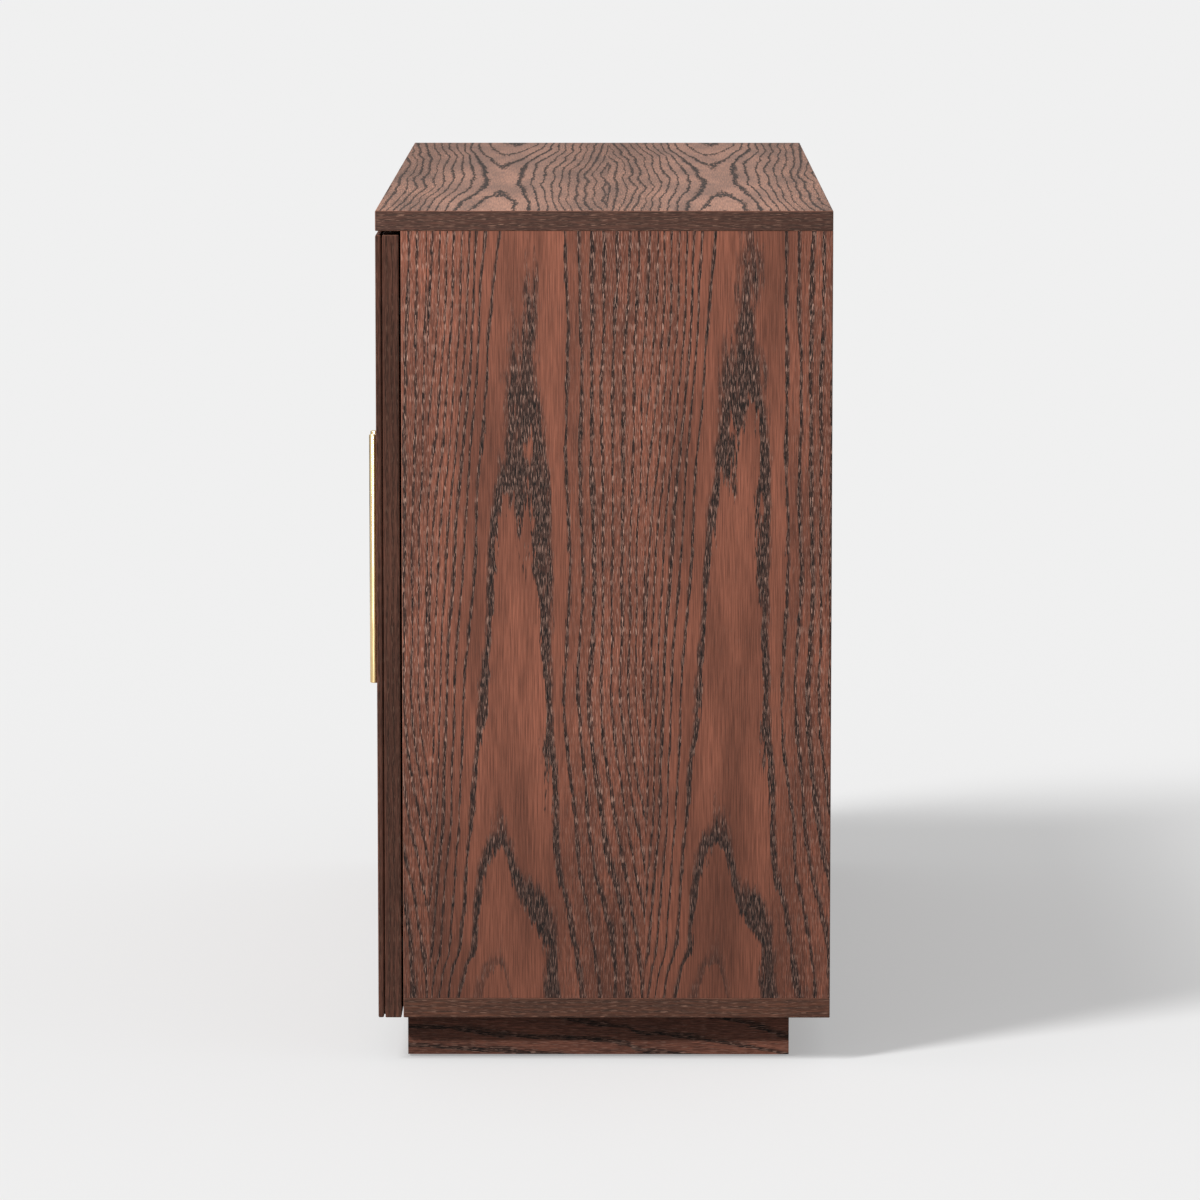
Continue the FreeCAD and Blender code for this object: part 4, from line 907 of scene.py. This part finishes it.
class Bench:
    """Where new pieces are shaped with Blender's own tools, in millimetres, one at a time."""

    @staticmethod
    def take(*pieces: Piece) -> None:
        """Selects these pieces alone.

        Args:
            pieces: the pieces.
        """
        bpy.ops.object.select_all(action="DESELECT")
        for piece in pieces:
            piece.select_set(True)
        bpy.context.view_layer.objects.active = pieces[-1]

    @staticmethod
    def turn(name: str, rings: Sequence[Pair], sides: int = 32) -> Piece:
        """Turns a piece as on a lathe: a disc is pulled up its axis, ring by ring.

        Args:
            name: the piece's name.
            rings: radius and height of each ring, from the lower disc to the upper one.
            sides: how many sides the round has.

        Returns:
            The piece, along its own +Z.
        """
        (radius, height), *others = rings
        bpy.ops.object.select_all(action="DESELECT")
        bpy.ops.mesh.primitive_circle_add(vertices=sides, radius=radius / MM, fill_type="NGON",
                                          location=(0, 0, height / MM))
        piece = bpy.context.active_object
        piece.name = piece.data.name = name
        bpy.ops.object.transform_apply(location=True, rotation=True, scale=True)
        bpy.ops.object.mode_set(mode="EDIT")
        bpy.ops.mesh.select_all(action="SELECT")
        for next_radius, next_height in others:
            bpy.ops.mesh.extrude_region_move(TRANSFORM_OT_translate={
                "value": (0, 0, (next_height - height) / MM), "orient_type": "GLOBAL"})
            if next_radius != radius:
                grow = next_radius / radius
                bpy.ops.transform.resize(value=(grow, grow, 1), center_override=(0, 0, next_height / MM))
            radius, height = next_radius, next_height
        bpy.ops.mesh.select_all(action="SELECT")
        bpy.ops.mesh.normals_make_consistent(inside=False)
        bpy.ops.object.mode_set(mode="OBJECT")
        return piece

    @staticmethod
    def bar(size: Triple, centre: Triple, taper: float = 1.0) -> Piece:
        """Makes a bar whose foot may be narrower than its top, as a tool to cut with.

        Args:
            size, centre: its three sides and its middle.
            taper: how wide the foot is against the top.

        Returns:
            The bar.
        """
        bpy.ops.object.select_all(action="DESELECT")
        bpy.ops.mesh.primitive_cube_add(size=1.0, location=[part / MM for part in centre],
                                        scale=[part / MM for part in size])
        piece = bpy.context.active_object
        bpy.ops.object.transform_apply(location=True, rotation=True, scale=True)
        for face in piece.data.polygons:
            face.select = face.normal.z < -0.5
        bpy.ops.object.mode_set(mode="EDIT")
        bpy.ops.mesh.select_mode(type="FACE")
        bpy.ops.transform.resize(value=(taper, taper, 1), center_override=(0, 0, 0))
        bpy.ops.object.mode_set(mode="OBJECT")
        return piece

    @classmethod
    def cut(cls, piece: Piece, tool: Piece) -> None:
        """Cuts a tool out of a piece, and puts the tool away.

        Args:
            piece, tool: the piece and the tool.
        """
        cls.take(piece)
        notch = piece.modifiers.new("notch", "BOOLEAN")
        notch.operation = "DIFFERENCE"
        notch.solver = "EXACT"
        notch.object = tool
        bpy.ops.object.modifier_apply(modifier=notch.name)
        bpy.data.objects.remove(tool)

    @classmethod
    def cut_cross(cls, piece: Piece, long: float, wide: float, deep: float, top: float) -> None:
        """Cuts a cross recess for a driver, of this size, into the upper face at this height."""
        for size in ((long, wide), (wide, long)):
            cls.cut(piece, cls.bar((*size, 2 * deep), (0, 0, top), taper=0.6))

    @classmethod
    def round_over(cls, piece: Piece, width: float) -> None:
        """Rounds a piece's edges over, and shades it smooth between them.

        Args:
            piece: the piece.
            width: how wide the rounding is.
        """
        cls.take(piece)
        soft = piece.modifiers.new("soft_edges", "BEVEL")
        soft.width = width / MM
        soft.segments = 2
        soft.limit_method = "ANGLE"
        soft.angle_limit = SHARP
        bpy.ops.object.modifier_apply(modifier=soft.name)
        bpy.ops.object.shade_smooth_by_angle(angle=SHARP)

    @classmethod
    def repeat(cls, pattern: Piece, name: str, spots: Iterable[Matrix]) -> Piece:
        """Shades a pattern smooth, copies it to its places, each with its own mesh, and joins the copies.

        Args:
            pattern: the piece that repeats, which is put away.
            name: the joined piece's name.
            spots: where each copy goes and how it is turned, in metres.

        Returns:
            The joined piece, with its object at the origin.
        """
        cls.take(pattern)
        bpy.ops.object.shade_smooth_by_angle(angle=SHARP)
        copies = []
        for place in spots:
            twin = bpy.data.objects.new(name, pattern.data.copy())
            twin.data.transform(place)
            bpy.context.scene.collection.objects.link(twin)
            copies.append(twin)
        bpy.data.objects.remove(pattern)
        cls.take(*copies)
        if len(copies) > 1:
            bpy.ops.object.join()
        piece = bpy.context.active_object
        piece.name = piece.data.name = name
        return piece

    @classmethod
    def soften(cls, node: str, name: str, width: float) -> Piece:
        """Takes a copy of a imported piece, closes its mesh and rounds its edges over.

        Args:
            node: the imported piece.
            name: the copy's name.
            width: how wide the rounding is.

        Returns:
            The copy.
        """
        piece = bpy.data.objects.new(name, frame["nodes"][node].data.copy())
        bpy.context.scene.collection.objects.link(piece)
        cls.take(piece)
        bpy.ops.mesh.customdata_custom_splitnormals_clear()
        bpy.ops.object.mode_set(mode="EDIT")
        bpy.ops.mesh.select_all(action="SELECT")
        bpy.ops.mesh.remove_doubles(threshold=0.000002)
        bpy.ops.mesh.dissolve_limited(angle_limit=math.radians(1))
        bpy.ops.object.mode_set(mode="OBJECT")
        cls.round_over(piece, width)
        return piece


def place_new(piece: Piece, node: str, body: str, slot: str, palette: Palette) -> None:
    """Puts a new piece in the place of a packed one.

    Args:
        piece: the new piece.
        node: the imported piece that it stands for.
        body: the body that it moves with.
        slot: the record's slot of its finish.
        palette: the finishes.
    """
    piece.data.materials.clear()
    piece.data.materials.append(palette.fittings[slot])
    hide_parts(node)
    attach(piece, body)
    LOG.info("%s for %s: %s", piece.name, node, slot)


def spot(across: float, back: float, up: float, way: Triple = (0, 0, 1)) -> Matrix:
    """A place in millimetres, turned so that +Z points the given way."""
    turned = Vector(way).to_track_quat("Z", "Y").to_matrix().to_4x4()
    return Matrix.Translation(Vector((across, back, up)) / MM) @ turned


def pan_head(radius: float, long: float, head_radius: float, head_high: float) -> Piece:
    """Makes a cross-recessed pan-head screw with a ridged shank and a point.

    Args:
        radius, long: the shank's radius and length, down from the seat of the head at zero.
        head_radius, head_high: the head's radius and height.

    Returns:
        The screw, with its head up.
    """
    pitch = 1.4
    core = 0.72 * radius
    rings: list[Pair] = [(0.15 * radius, -long), (core, -long + 1.8 * radius)]
    height = rings[-1][1]
    while height + pitch < -1.0:
        rings += [(radius, height + 0.45 * pitch), (radius, height + 0.55 * pitch), (core, height + pitch)]
        height += pitch
    rings += [(0.9 * radius, -0.5), (0.9 * radius, 0.0), (head_radius, 0.0), (head_radius, 0.35 * head_high),
              (0.93 * head_radius, 0.7 * head_high), (0.75 * head_radius, 0.92 * head_high),
              (0.5 * head_radius, head_high)]
    screw = Bench.turn("screw", rings, sides=20)
    Bench.cut_cross(screw, 1.15 * head_radius, 0.24 * head_radius, 0.7 * head_high, head_high)
    return screw


@dataclass
class Carcass:
    """The five stained boards, the two backs and the fittings that hold them together."""

    palette: Palette
    panel: float = 20.0  # the boards' thickness
    half: float = 600.0  # half of the cabinet's length
    cam_radius: float = 7.45
    cam_high: float = 13.5
    cam_rows: Pair = (-119.0, 152.5)  # how far back the cam locks sit
    cam_levels: Pair = (89.0, 806.0)  # how high they sit
    bolt: float = 3.75  # the radius of the hole that takes the bolt

    def build(self) -> None:
        """Dresses the boards and puts the cam locks in."""
        dress(self.palette.end, "left_side_panel", "right_side_panel", "centre_partition")
        dress(self.palette.top, "top_panel")
        dress(self.palette.level, "bottom_panel")
        dress(self.palette.back, "left_back_panel", "right_back_panel")
        dress(self.palette.timber, "carcass_dowels")
        dress(self.palette.fittings["nickelled_steel"], "cam_bolts")
        self.fit_cams()

    def fit_cams(self) -> None:
        """Makes the cam locks, with their cross recess and the mouth that takes the bolt's head."""
        rim, low, slot_level = self.cam_radius, -self.cam_high, -0.4
        cam = Bench.turn("cam", [
            (rim - 0.5, low), (rim, low + 0.5), (rim, -1.2), (rim - 0.35, -1.0), (rim - 0.35, -0.5),
            (rim - 0.8, 0.0), (rim - 2.2, 0.0), (rim - 2.5, slot_level)], sides=40)
        Bench.cut(cam, Bench.bar((2 * self.bolt, 2.2 * rim, 2 * self.bolt), (0, 0, -self.panel / 2)))
        Bench.cut_cross(cam, 6.6, 1.3, 2.6, slot_level)
        Bench.round_over(cam, 0.15)
        inner = self.half - self.panel
        upright = Matrix.Rotation(math.radians(90), 4, "Z")
        spots = [spot(face, back, up, (way, 0, 0)) @ upright
                 for face, way in ((-inner, 1), (self.panel / 2, 1), (inner, -1))
                 for back in self.cam_rows for up in self.cam_levels]
        cams = Bench.repeat(cam, "cross_slot_cam_locks", spots)
        place_new(cams, "cam_locks", "cabinet", "zinc", self.palette)


@dataclass
class Shelving:
    """The two shelves and the pins that carry them."""

    palette: Palette
    bays: tuple[Pair, Pair] = ((-580.0, -10.0), (10.0, 580.0))  # the X of each bay's two sides
    rows: Pair = (-125.0, 158.5)  # how far back the pins sit
    level: float = 447.5  # how high the pins' axes lie

    def build(self) -> None:
        """Dresses the shelves and puts the pins in."""
        dress(self.palette.level, "left_shelf", "right_shelf")
        pin = Bench.turn("pin", [
            (2.1, -8.5), (2.45, -8.1), (2.45, 0), (3.75, 0), (4, 0.25), (4, 0.95), (3.75, 1.2), (2.45, 1.2),
            (2.45, 8.7), (2.2, 9.1), (1.6, 9.2)])
        pins = Bench.repeat(pin, "turned_shelf_pins", [
            spot(face, back, self.level, (way, 0, 0))
            for bay in self.bays for face, way in zip(bay, (1, -1)) for back in self.rows])
        place_new(pins, "shelf_pins", "cabinet", "nickelled_steel", self.palette)


@dataclass
class Plinth:
    """The mitred base frame with its corner blocks, screws and glides."""

    palette: Palette
    block_xs: Pair = (-537.0, 537.0)  # where the corner blocks' screws stand
    block_rows: Pair = (-148.5, 167.0)
    seat: float = 11.0  # how high the screws' heads sit
    glide_xs: Triple = (-500.0, 0.0, 500.0)
    glide_rows: Pair = (-172.5, 191.0)

    def build(self) -> None:
        """Dresses the rails and blocks, and puts screws and glides in."""
        dress(self.palette.long_rail, "plinth_front_rail", "plinth_rear_rail")
        dress(self.palette.end_rail, "plinth_left_rail", "plinth_middle_rail", "plinth_right_rail")
        dress(self.palette.timber, "plinth_corner_blocks")
        screws = Bench.repeat(pan_head(2.0, 47.0, 4.0, 3.0), "cross_head_plinth_screws", [
            spot(across, back, self.seat, (0, 0, -1))
            for across in self.block_xs for back in self.block_rows])
        place_new(screws, "plinth_screws", "cabinet", "steel_screw", self.palette)
        glide = Bench.turn("glide", [
            (5.5, 0.0), (7.2, 0.15), (8.0, 0.7), (8.0, 1.6), (7.7, 2.0), (1.25, 2.0), (1.25, 14.6),
            (0.2, 16.0)])
        glides = Bench.repeat(glide, "nail_on_glides", [
            spot(across, back, 0.0) for across in self.glide_xs for back in self.glide_rows])
        place_new(glides, "plinth_glides", "cabinet", "glide_plastic", self.palette)


@dataclass
class Pull:
    """A bar pull on two coped posts, held by screws through the door."""

    palette: Palette
    side: Side
    across: float = 20.0  # how far from the cabinet's middle the bar stands
    middle: float = 435.5  # how high its middle is
    long: float = 270.0
    radius: float = 5.0
    post: float = 4.0  # the posts' radius
    spacing: float = 192.0  # how far apart they are
    face: float = -210.0  # the door's front
    reach: float = 25.0  # how far before it the bar's axis lies
    back: float = -187.0  # the door's back, where the screws' heads sit

    def build(self) -> None:
        """Makes bar, posts and screws."""
        across, name_of = self.side.value * self.across, self.side.name_of
        half, radius, body = self.long / 2, self.radius, name_of("door")
        end = ((0.8, 0.0), (0.3, 0.2), (0.05, 0.55), (0.0, 0.9))
        bar = Bench.turn("bar", [(radius - thin, -half + up) for thin, up in end]
                         + [(radius - thin, half - down) for thin, down in reversed(end)], sides=64)
        bar = Bench.repeat(bar, name_of("round_pull_bar"), [
            spot(across, self.face - self.reach, self.middle)])
        place_new(bar, name_of("pull_bar"), body, "brass", self.palette)

        heights = [self.middle + sign * self.spacing / 2 for sign in (-1, 1)]
        post = Bench.turn("post", [
            (self.post - 0.1, 0.0), (self.post, 0.12), (self.post, self.reach)], sides=48)
        Bench.cut(post, self.saddle())
        posts = Bench.repeat(post, name_of("coped_pull_posts"), [
            spot(across, self.face, up, (0, -1, 0)) for up in heights])
        place_new(posts, name_of("pull_posts"), body, "brass", self.palette)

        screws = Bench.repeat(pan_head(2.0, 35.0, 4.0, 2.2), name_of("cross_head_pull_screws"), [
            spot(across, self.back, up, (0, 1, 0)) for up in heights])
        place_new(screws, name_of("pull_screws"), body, "steel_screw", self.palette)

    def saddle(self) -> Piece:
        """Makes the round tool that copes a post's end to the bar.

        Returns:
            The tool, lying across the post's end.
        """
        tool = Bench.turn("saddle", [(self.radius, -10.0), (self.radius, 10.0)], sides=64)
        level = Matrix.Rotation(math.radians(90), 4, "X")
        tool.data.transform(Matrix.Translation((0, 0, self.reach / MM)) @ level)
        return tool


@dataclass
class Hinges:
    """A door's two cup hinges: cups and pins on the door, arms and plates on the carcass, and the screws."""

    palette: Palette
    side: Side
    heights: Pair = (140.0, 731.0)  # how high their middles are
    # The X and Y of the screws' seats, and how far above and below the hinge's middle they sit
    cup_screw: Triple = (574.5, -185.8, 24.0)
    plate_screw: Triple = (577.0, -148.0, 16.0)
    arm_screw: Triple = (574.5, -148.0, 0.0)

    def build(self) -> None:
        """Makes all pieces of both hinges."""
        sign, name_of, door = self.side.value, self.side.name_of, self.side.name_of("door")
        for piece, body, width in (("hinge_cups", door, 0.25), ("hinge_pins", door, 0.2),
                                   ("hinge_arms", "cabinet", 0.35), ("hinge_plates", "cabinet", 0.4)):
            made = Bench.soften(name_of(piece), name_of(f"pressed_{piece}"), width)
            place_new(made, name_of(piece), body, "black_nickel", self.palette)
        inwards, forwards = (-sign, 0, 0), (0, 1, 0)
        for piece, body, screw, (across, back, off), way in (
            ("cup_screws", door, (1.75, 13.2, 3.2, 1.5), self.cup_screw, forwards),
            ("plate_screws", "cabinet", (2.5, 14.0, 3.4, 2.0), self.plate_screw, inwards),
            ("arm_screws", "cabinet", (2.5, 5.5, 3.4, 2.0), self.arm_screw, inwards),
        ):
            spots = [spot(sign * across, back, up + step, way)
                     for up in self.heights for step in sorted({-off, off})]
            made = Bench.repeat(pan_head(*screw), name_of(f"cross_head_{piece}"), spots)
            place_new(made, name_of(piece), body, "black_nickel", self.palette)


@dataclass
class Door:
    """An overlay door: a core board with a thin facing before it, two bumpers, a pull and two hinges."""

    palette: Palette
    side: Side
    bumper_x: float = 5.75
    bumper_heights: Pair = (95.0, 796.0)
    back: float = -187.0  # the door's back

    def build(self) -> None:
        """Dresses the boards and builds what is on them."""
        name_of = self.side.name_of
        dress(self.palette.front, name_of("door_core"), name_of("door_facing"))
        dome = Bench.turn("dome", [(3.5, 0.0), (3.5, 0.5), (3.3, 0.95), (2.8, 1.3), (2.0, 1.52), (1.0, 1.6)])
        bumpers = Bench.repeat(dome, name_of("domed_door_bumpers"), [
            spot(self.side.value * self.bumper_x, self.back, up, (0, 1, 0)) for up in self.bumper_heights])
        place_new(bumpers, name_of("door_bumpers"), name_of("door"), "bumper_rubber", self.palette)
        Pull(self.palette, self.side).build()
        Hinges(self.palette, self.side).build()


@dataclass
class Studio:
    """The floor, the lamps, the surroundings and the camera, in metres and degrees."""

    floor_half: float = 60.0  # half of the floor's side
    paper: float = 0.863  # how bright floor and surroundings look
    floor_seen: float = 0.535  # what part of its light the floor sends to the eye
    floor_glow: float = 0.336  # what it adds to it
    floor_felt: float = 0.2  # what part of its light the floor throws back on the cabinet
    sky: float = 0.42  # how much light the surroundings shed
    flag_foot: Pair = (-1.5, -3.0)  # where the dark flag begins and ends, and how high it is
    flag_head: Pair = (-3.4, -0.3)
    flag_high: float = 0.7
    lamp_way: Pair = (0.62, -0.785)  # the horizontal direction towards the tall lamp
    lamp_heights: tuple[float, ...] = (38.0, 45.0, 52.0, 59.0)  # how high its parts stand
    lamp_part: float = 0.6135  # the power of each part
    lamp_width: float = 11.0  # how wide it looks
    key_way: Triple = (0.574, -0.725, 0.3814)  # the direction towards the key lamp
    key_aim: Triple = (0.6, -0.03, 0.60)  # where it points
    key_far: float = 2.91  # how far off it is
    key_power: float = 480.0
    key_cone: float = 36.0  # the width of its cone
    key_size: float = 0.05  # its own radius
    key_lights: tuple[str, ...] = ("right_side_panel", "top_panel", "bottom_panel", "plinth_right_rail")
    strip_way: Triple = (0.86, -0.51, 0.04)  # the direction towards the strip lamp
    strip_power: float = 2.4
    strip_width: float = 5.0  # how wide it looks
    eye: Triple = (6.8184, 0.0334, 1.2622)  # where the camera stands
    tilt: float = 7.306  # how far it looks down
    turn: float = 90.207
    lens: float = 190.2  # its focal length in millimetres

    def build(self) -> None:
        """Builds the studio round the cabinet."""
        self.lay_floor()
        self.light_sky()
        self.stand_flag()
        self.hang_lamps()
        self.set_camera()

    @staticmethod
    def rays_that_see(sheet: NodeSheet) -> Socket:
        """Finds the rays that see the floor and the surroundings, as the camera, metal and glass do.

        Args:
            sheet: the sheet to draw on.

        Returns:
            1 for them and 0 for the others.
        """
        camera, glossy, through = (
            sheet.add("LightPath", (), f"Is {kind} Ray") for kind in ("Camera", "Glossy", "Transmission"))
        return sheet.calc("MAXIMUM", camera, sheet.calc("MAXIMUM", glossy, through))

    @staticmethod
    def new_plane(name: str, size: float) -> Piece:
        """Adds a level square of this size, in the middle of the floor.

        Args:
            name, size: its name and its side.

        Returns:
            The square.
        """
        bpy.ops.object.select_all(action="DESELECT")
        bpy.ops.mesh.primitive_plane_add(size=size)
        plane = bpy.context.active_object
        plane.name = name
        return plane

    def lay_floor(self) -> None:
        """Lays the pale floor, which keeps the cabinet's shadow and looks as bright as the surroundings."""
        floor = self.new_plane("studio_floor", 2 * self.floor_half)
        material = bpy.data.materials.new("pale_floor")
        sheet = clear_sheet(material)
        seen, felt = (sheet.add("BsdfDiffuse", {"Color": (part, part, part, 1.0)})
                      for part in (self.floor_seen, self.floor_felt))
        both = sheet.add("AddShader", (seen, sheet.add("Emission", {"Strength": self.floor_glow})))
        surface = sheet.add("MixShader", (self.rays_that_see(sheet), felt, both))
        sheet.fill(sheet.node("OutputMaterial"), {"Surface": surface})
        floor.data.materials.append(material)

    def light_sky(self) -> None:
        """Makes the surroundings: one pale tone to the eye and in reflections, and a softer light."""
        world = bpy.data.worlds.new("studio_sky")
        sheet = clear_sheet(world)
        strength = sheet.mix(self.rays_that_see(sheet), self.sky, self.paper)
        shade = sheet.add("Background", {"Color": (1.0, 1.0, 1.0, 1.0), "Strength": strength})
        sheet.fill(sheet.node("OutputWorld"), {"Surface": shade})
        bpy.context.scene.world = world

    def stand_flag(self) -> None:
        """Stands a low dark flag before the left end, seen in reflections alone, which rounds the pulls."""
        flag = self.new_plane("dark_flag", 1.0)
        foot, head = Vector((*self.flag_foot, 0.0)), Vector((*self.flag_head, 0.0))
        along, up = head - foot, Vector((0, 0, self.flag_high))
        turned = Matrix((along, up, along.cross(up))).transposed().to_4x4()
        flag.data.transform(Matrix.Translation(foot + along / 2 + up / 2) @ turned)
        material, sheet, shader = new_material("dark_cloth")
        sheet.fill(shader, {"Base Color": stain(46, 42, 38), "Roughness": 1.0})
        flag.data.materials.append(material)
        flag.visible_camera = flag.visible_diffuse = flag.visible_shadow = flag.visible_transmission = False

    @staticmethod
    def hang(name: str, kind: str, towards: Vector, place: Vector, pieces: Iterable[Piece] = (),
             **settings: float) -> None:
        """Hangs a lamp so that it shines from a direction.

        Args:
            name, kind: its name and its type.
            towards: the direction from what it lights to the lamp.
            place: where it hangs.
            pieces: the pieces that it lights, or none for all.
            settings: its own settings, by name.
        """
        data = bpy.data.lights.new(name, kind)
        for setting, value in settings.items():
            setattr(data, setting, value)
        lamp = bpy.data.objects.new(name, data)
        lamp.rotation_mode = "QUATERNION"
        lamp.rotation_quaternion = towards.to_track_quat("Z", "Y")
        lamp.location = place
        bpy.context.scene.collection.objects.link(lamp)
        if pieces:
            lit = bpy.data.collections.new("lit_by_the_" + name)
            for piece in pieces:
                lit.objects.link(piece)
            lamp.light_linking.receiver_collection = lit

    def hang_lamps(self) -> None:
        """Hangs the tall lamp, as suns one above another, the right end's key lamp and the pulls' strip."""
        level = Vector((*self.lamp_way, 0.0)).normalized()
        for height in self.lamp_heights:
            rise = math.radians(height)
            towards = level * math.cos(rise) + Vector((0, 0, math.sin(rise)))
            self.hang(f"tall_lamp_{int(height)}", "SUN", towards, towards * 5, energy=self.lamp_part,
                      angle=math.radians(self.lamp_width))
        way = Vector(self.key_way).normalized()
        self.hang("key_lamp", "SPOT", way, Vector(self.key_aim) + way * self.key_far,
                  [frame["nodes"][node] for node in self.key_lights], energy=self.key_power,
                  shadow_soft_size=self.key_size, spot_size=math.radians(self.key_cone), spot_blend=1.0)
        way = Vector(self.strip_way).normalized()
        self.hang("strip_lamp", "SUN", way, way * 5, [
            piece for piece in bpy.data.objects if "pull_bar" in piece.name or "pull_posts" in piece.name
        ], energy=self.strip_power, angle=math.radians(self.strip_width))

    def set_camera(self) -> None:
        """Sets the camera as the photographer stood, facing the right end."""
        data = bpy.data.cameras.new("camera")
        data.lens = self.lens
        data.clip_end = 200.0
        camera = bpy.data.objects.new("camera", data)
        camera.location = self.eye
        camera.rotation_euler = (math.radians(90 - self.tilt), 0.0, math.radians(self.turn))
        bpy.context.scene.collection.objects.link(camera)
        bpy.context.scene.camera = camera
        bpy.context.scene.view_settings.view_transform = "Standard"


def main() -> None:
    """Builds and dresses the cabinet, one sub-assembly after another, and sets it in the studio."""
    logging.basicConfig(level=logging.INFO, format="%(message)s")
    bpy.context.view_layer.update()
    palette = Palette()
    doors = [Door(palette, side) for side in Side]
    for part in (Carcass(palette), Shelving(palette), Plinth(palette), *doors):
        LOG.info("%s", type(part).__name__)
        part.build()
    Studio().build()


if __name__ == "__main__":
    main()
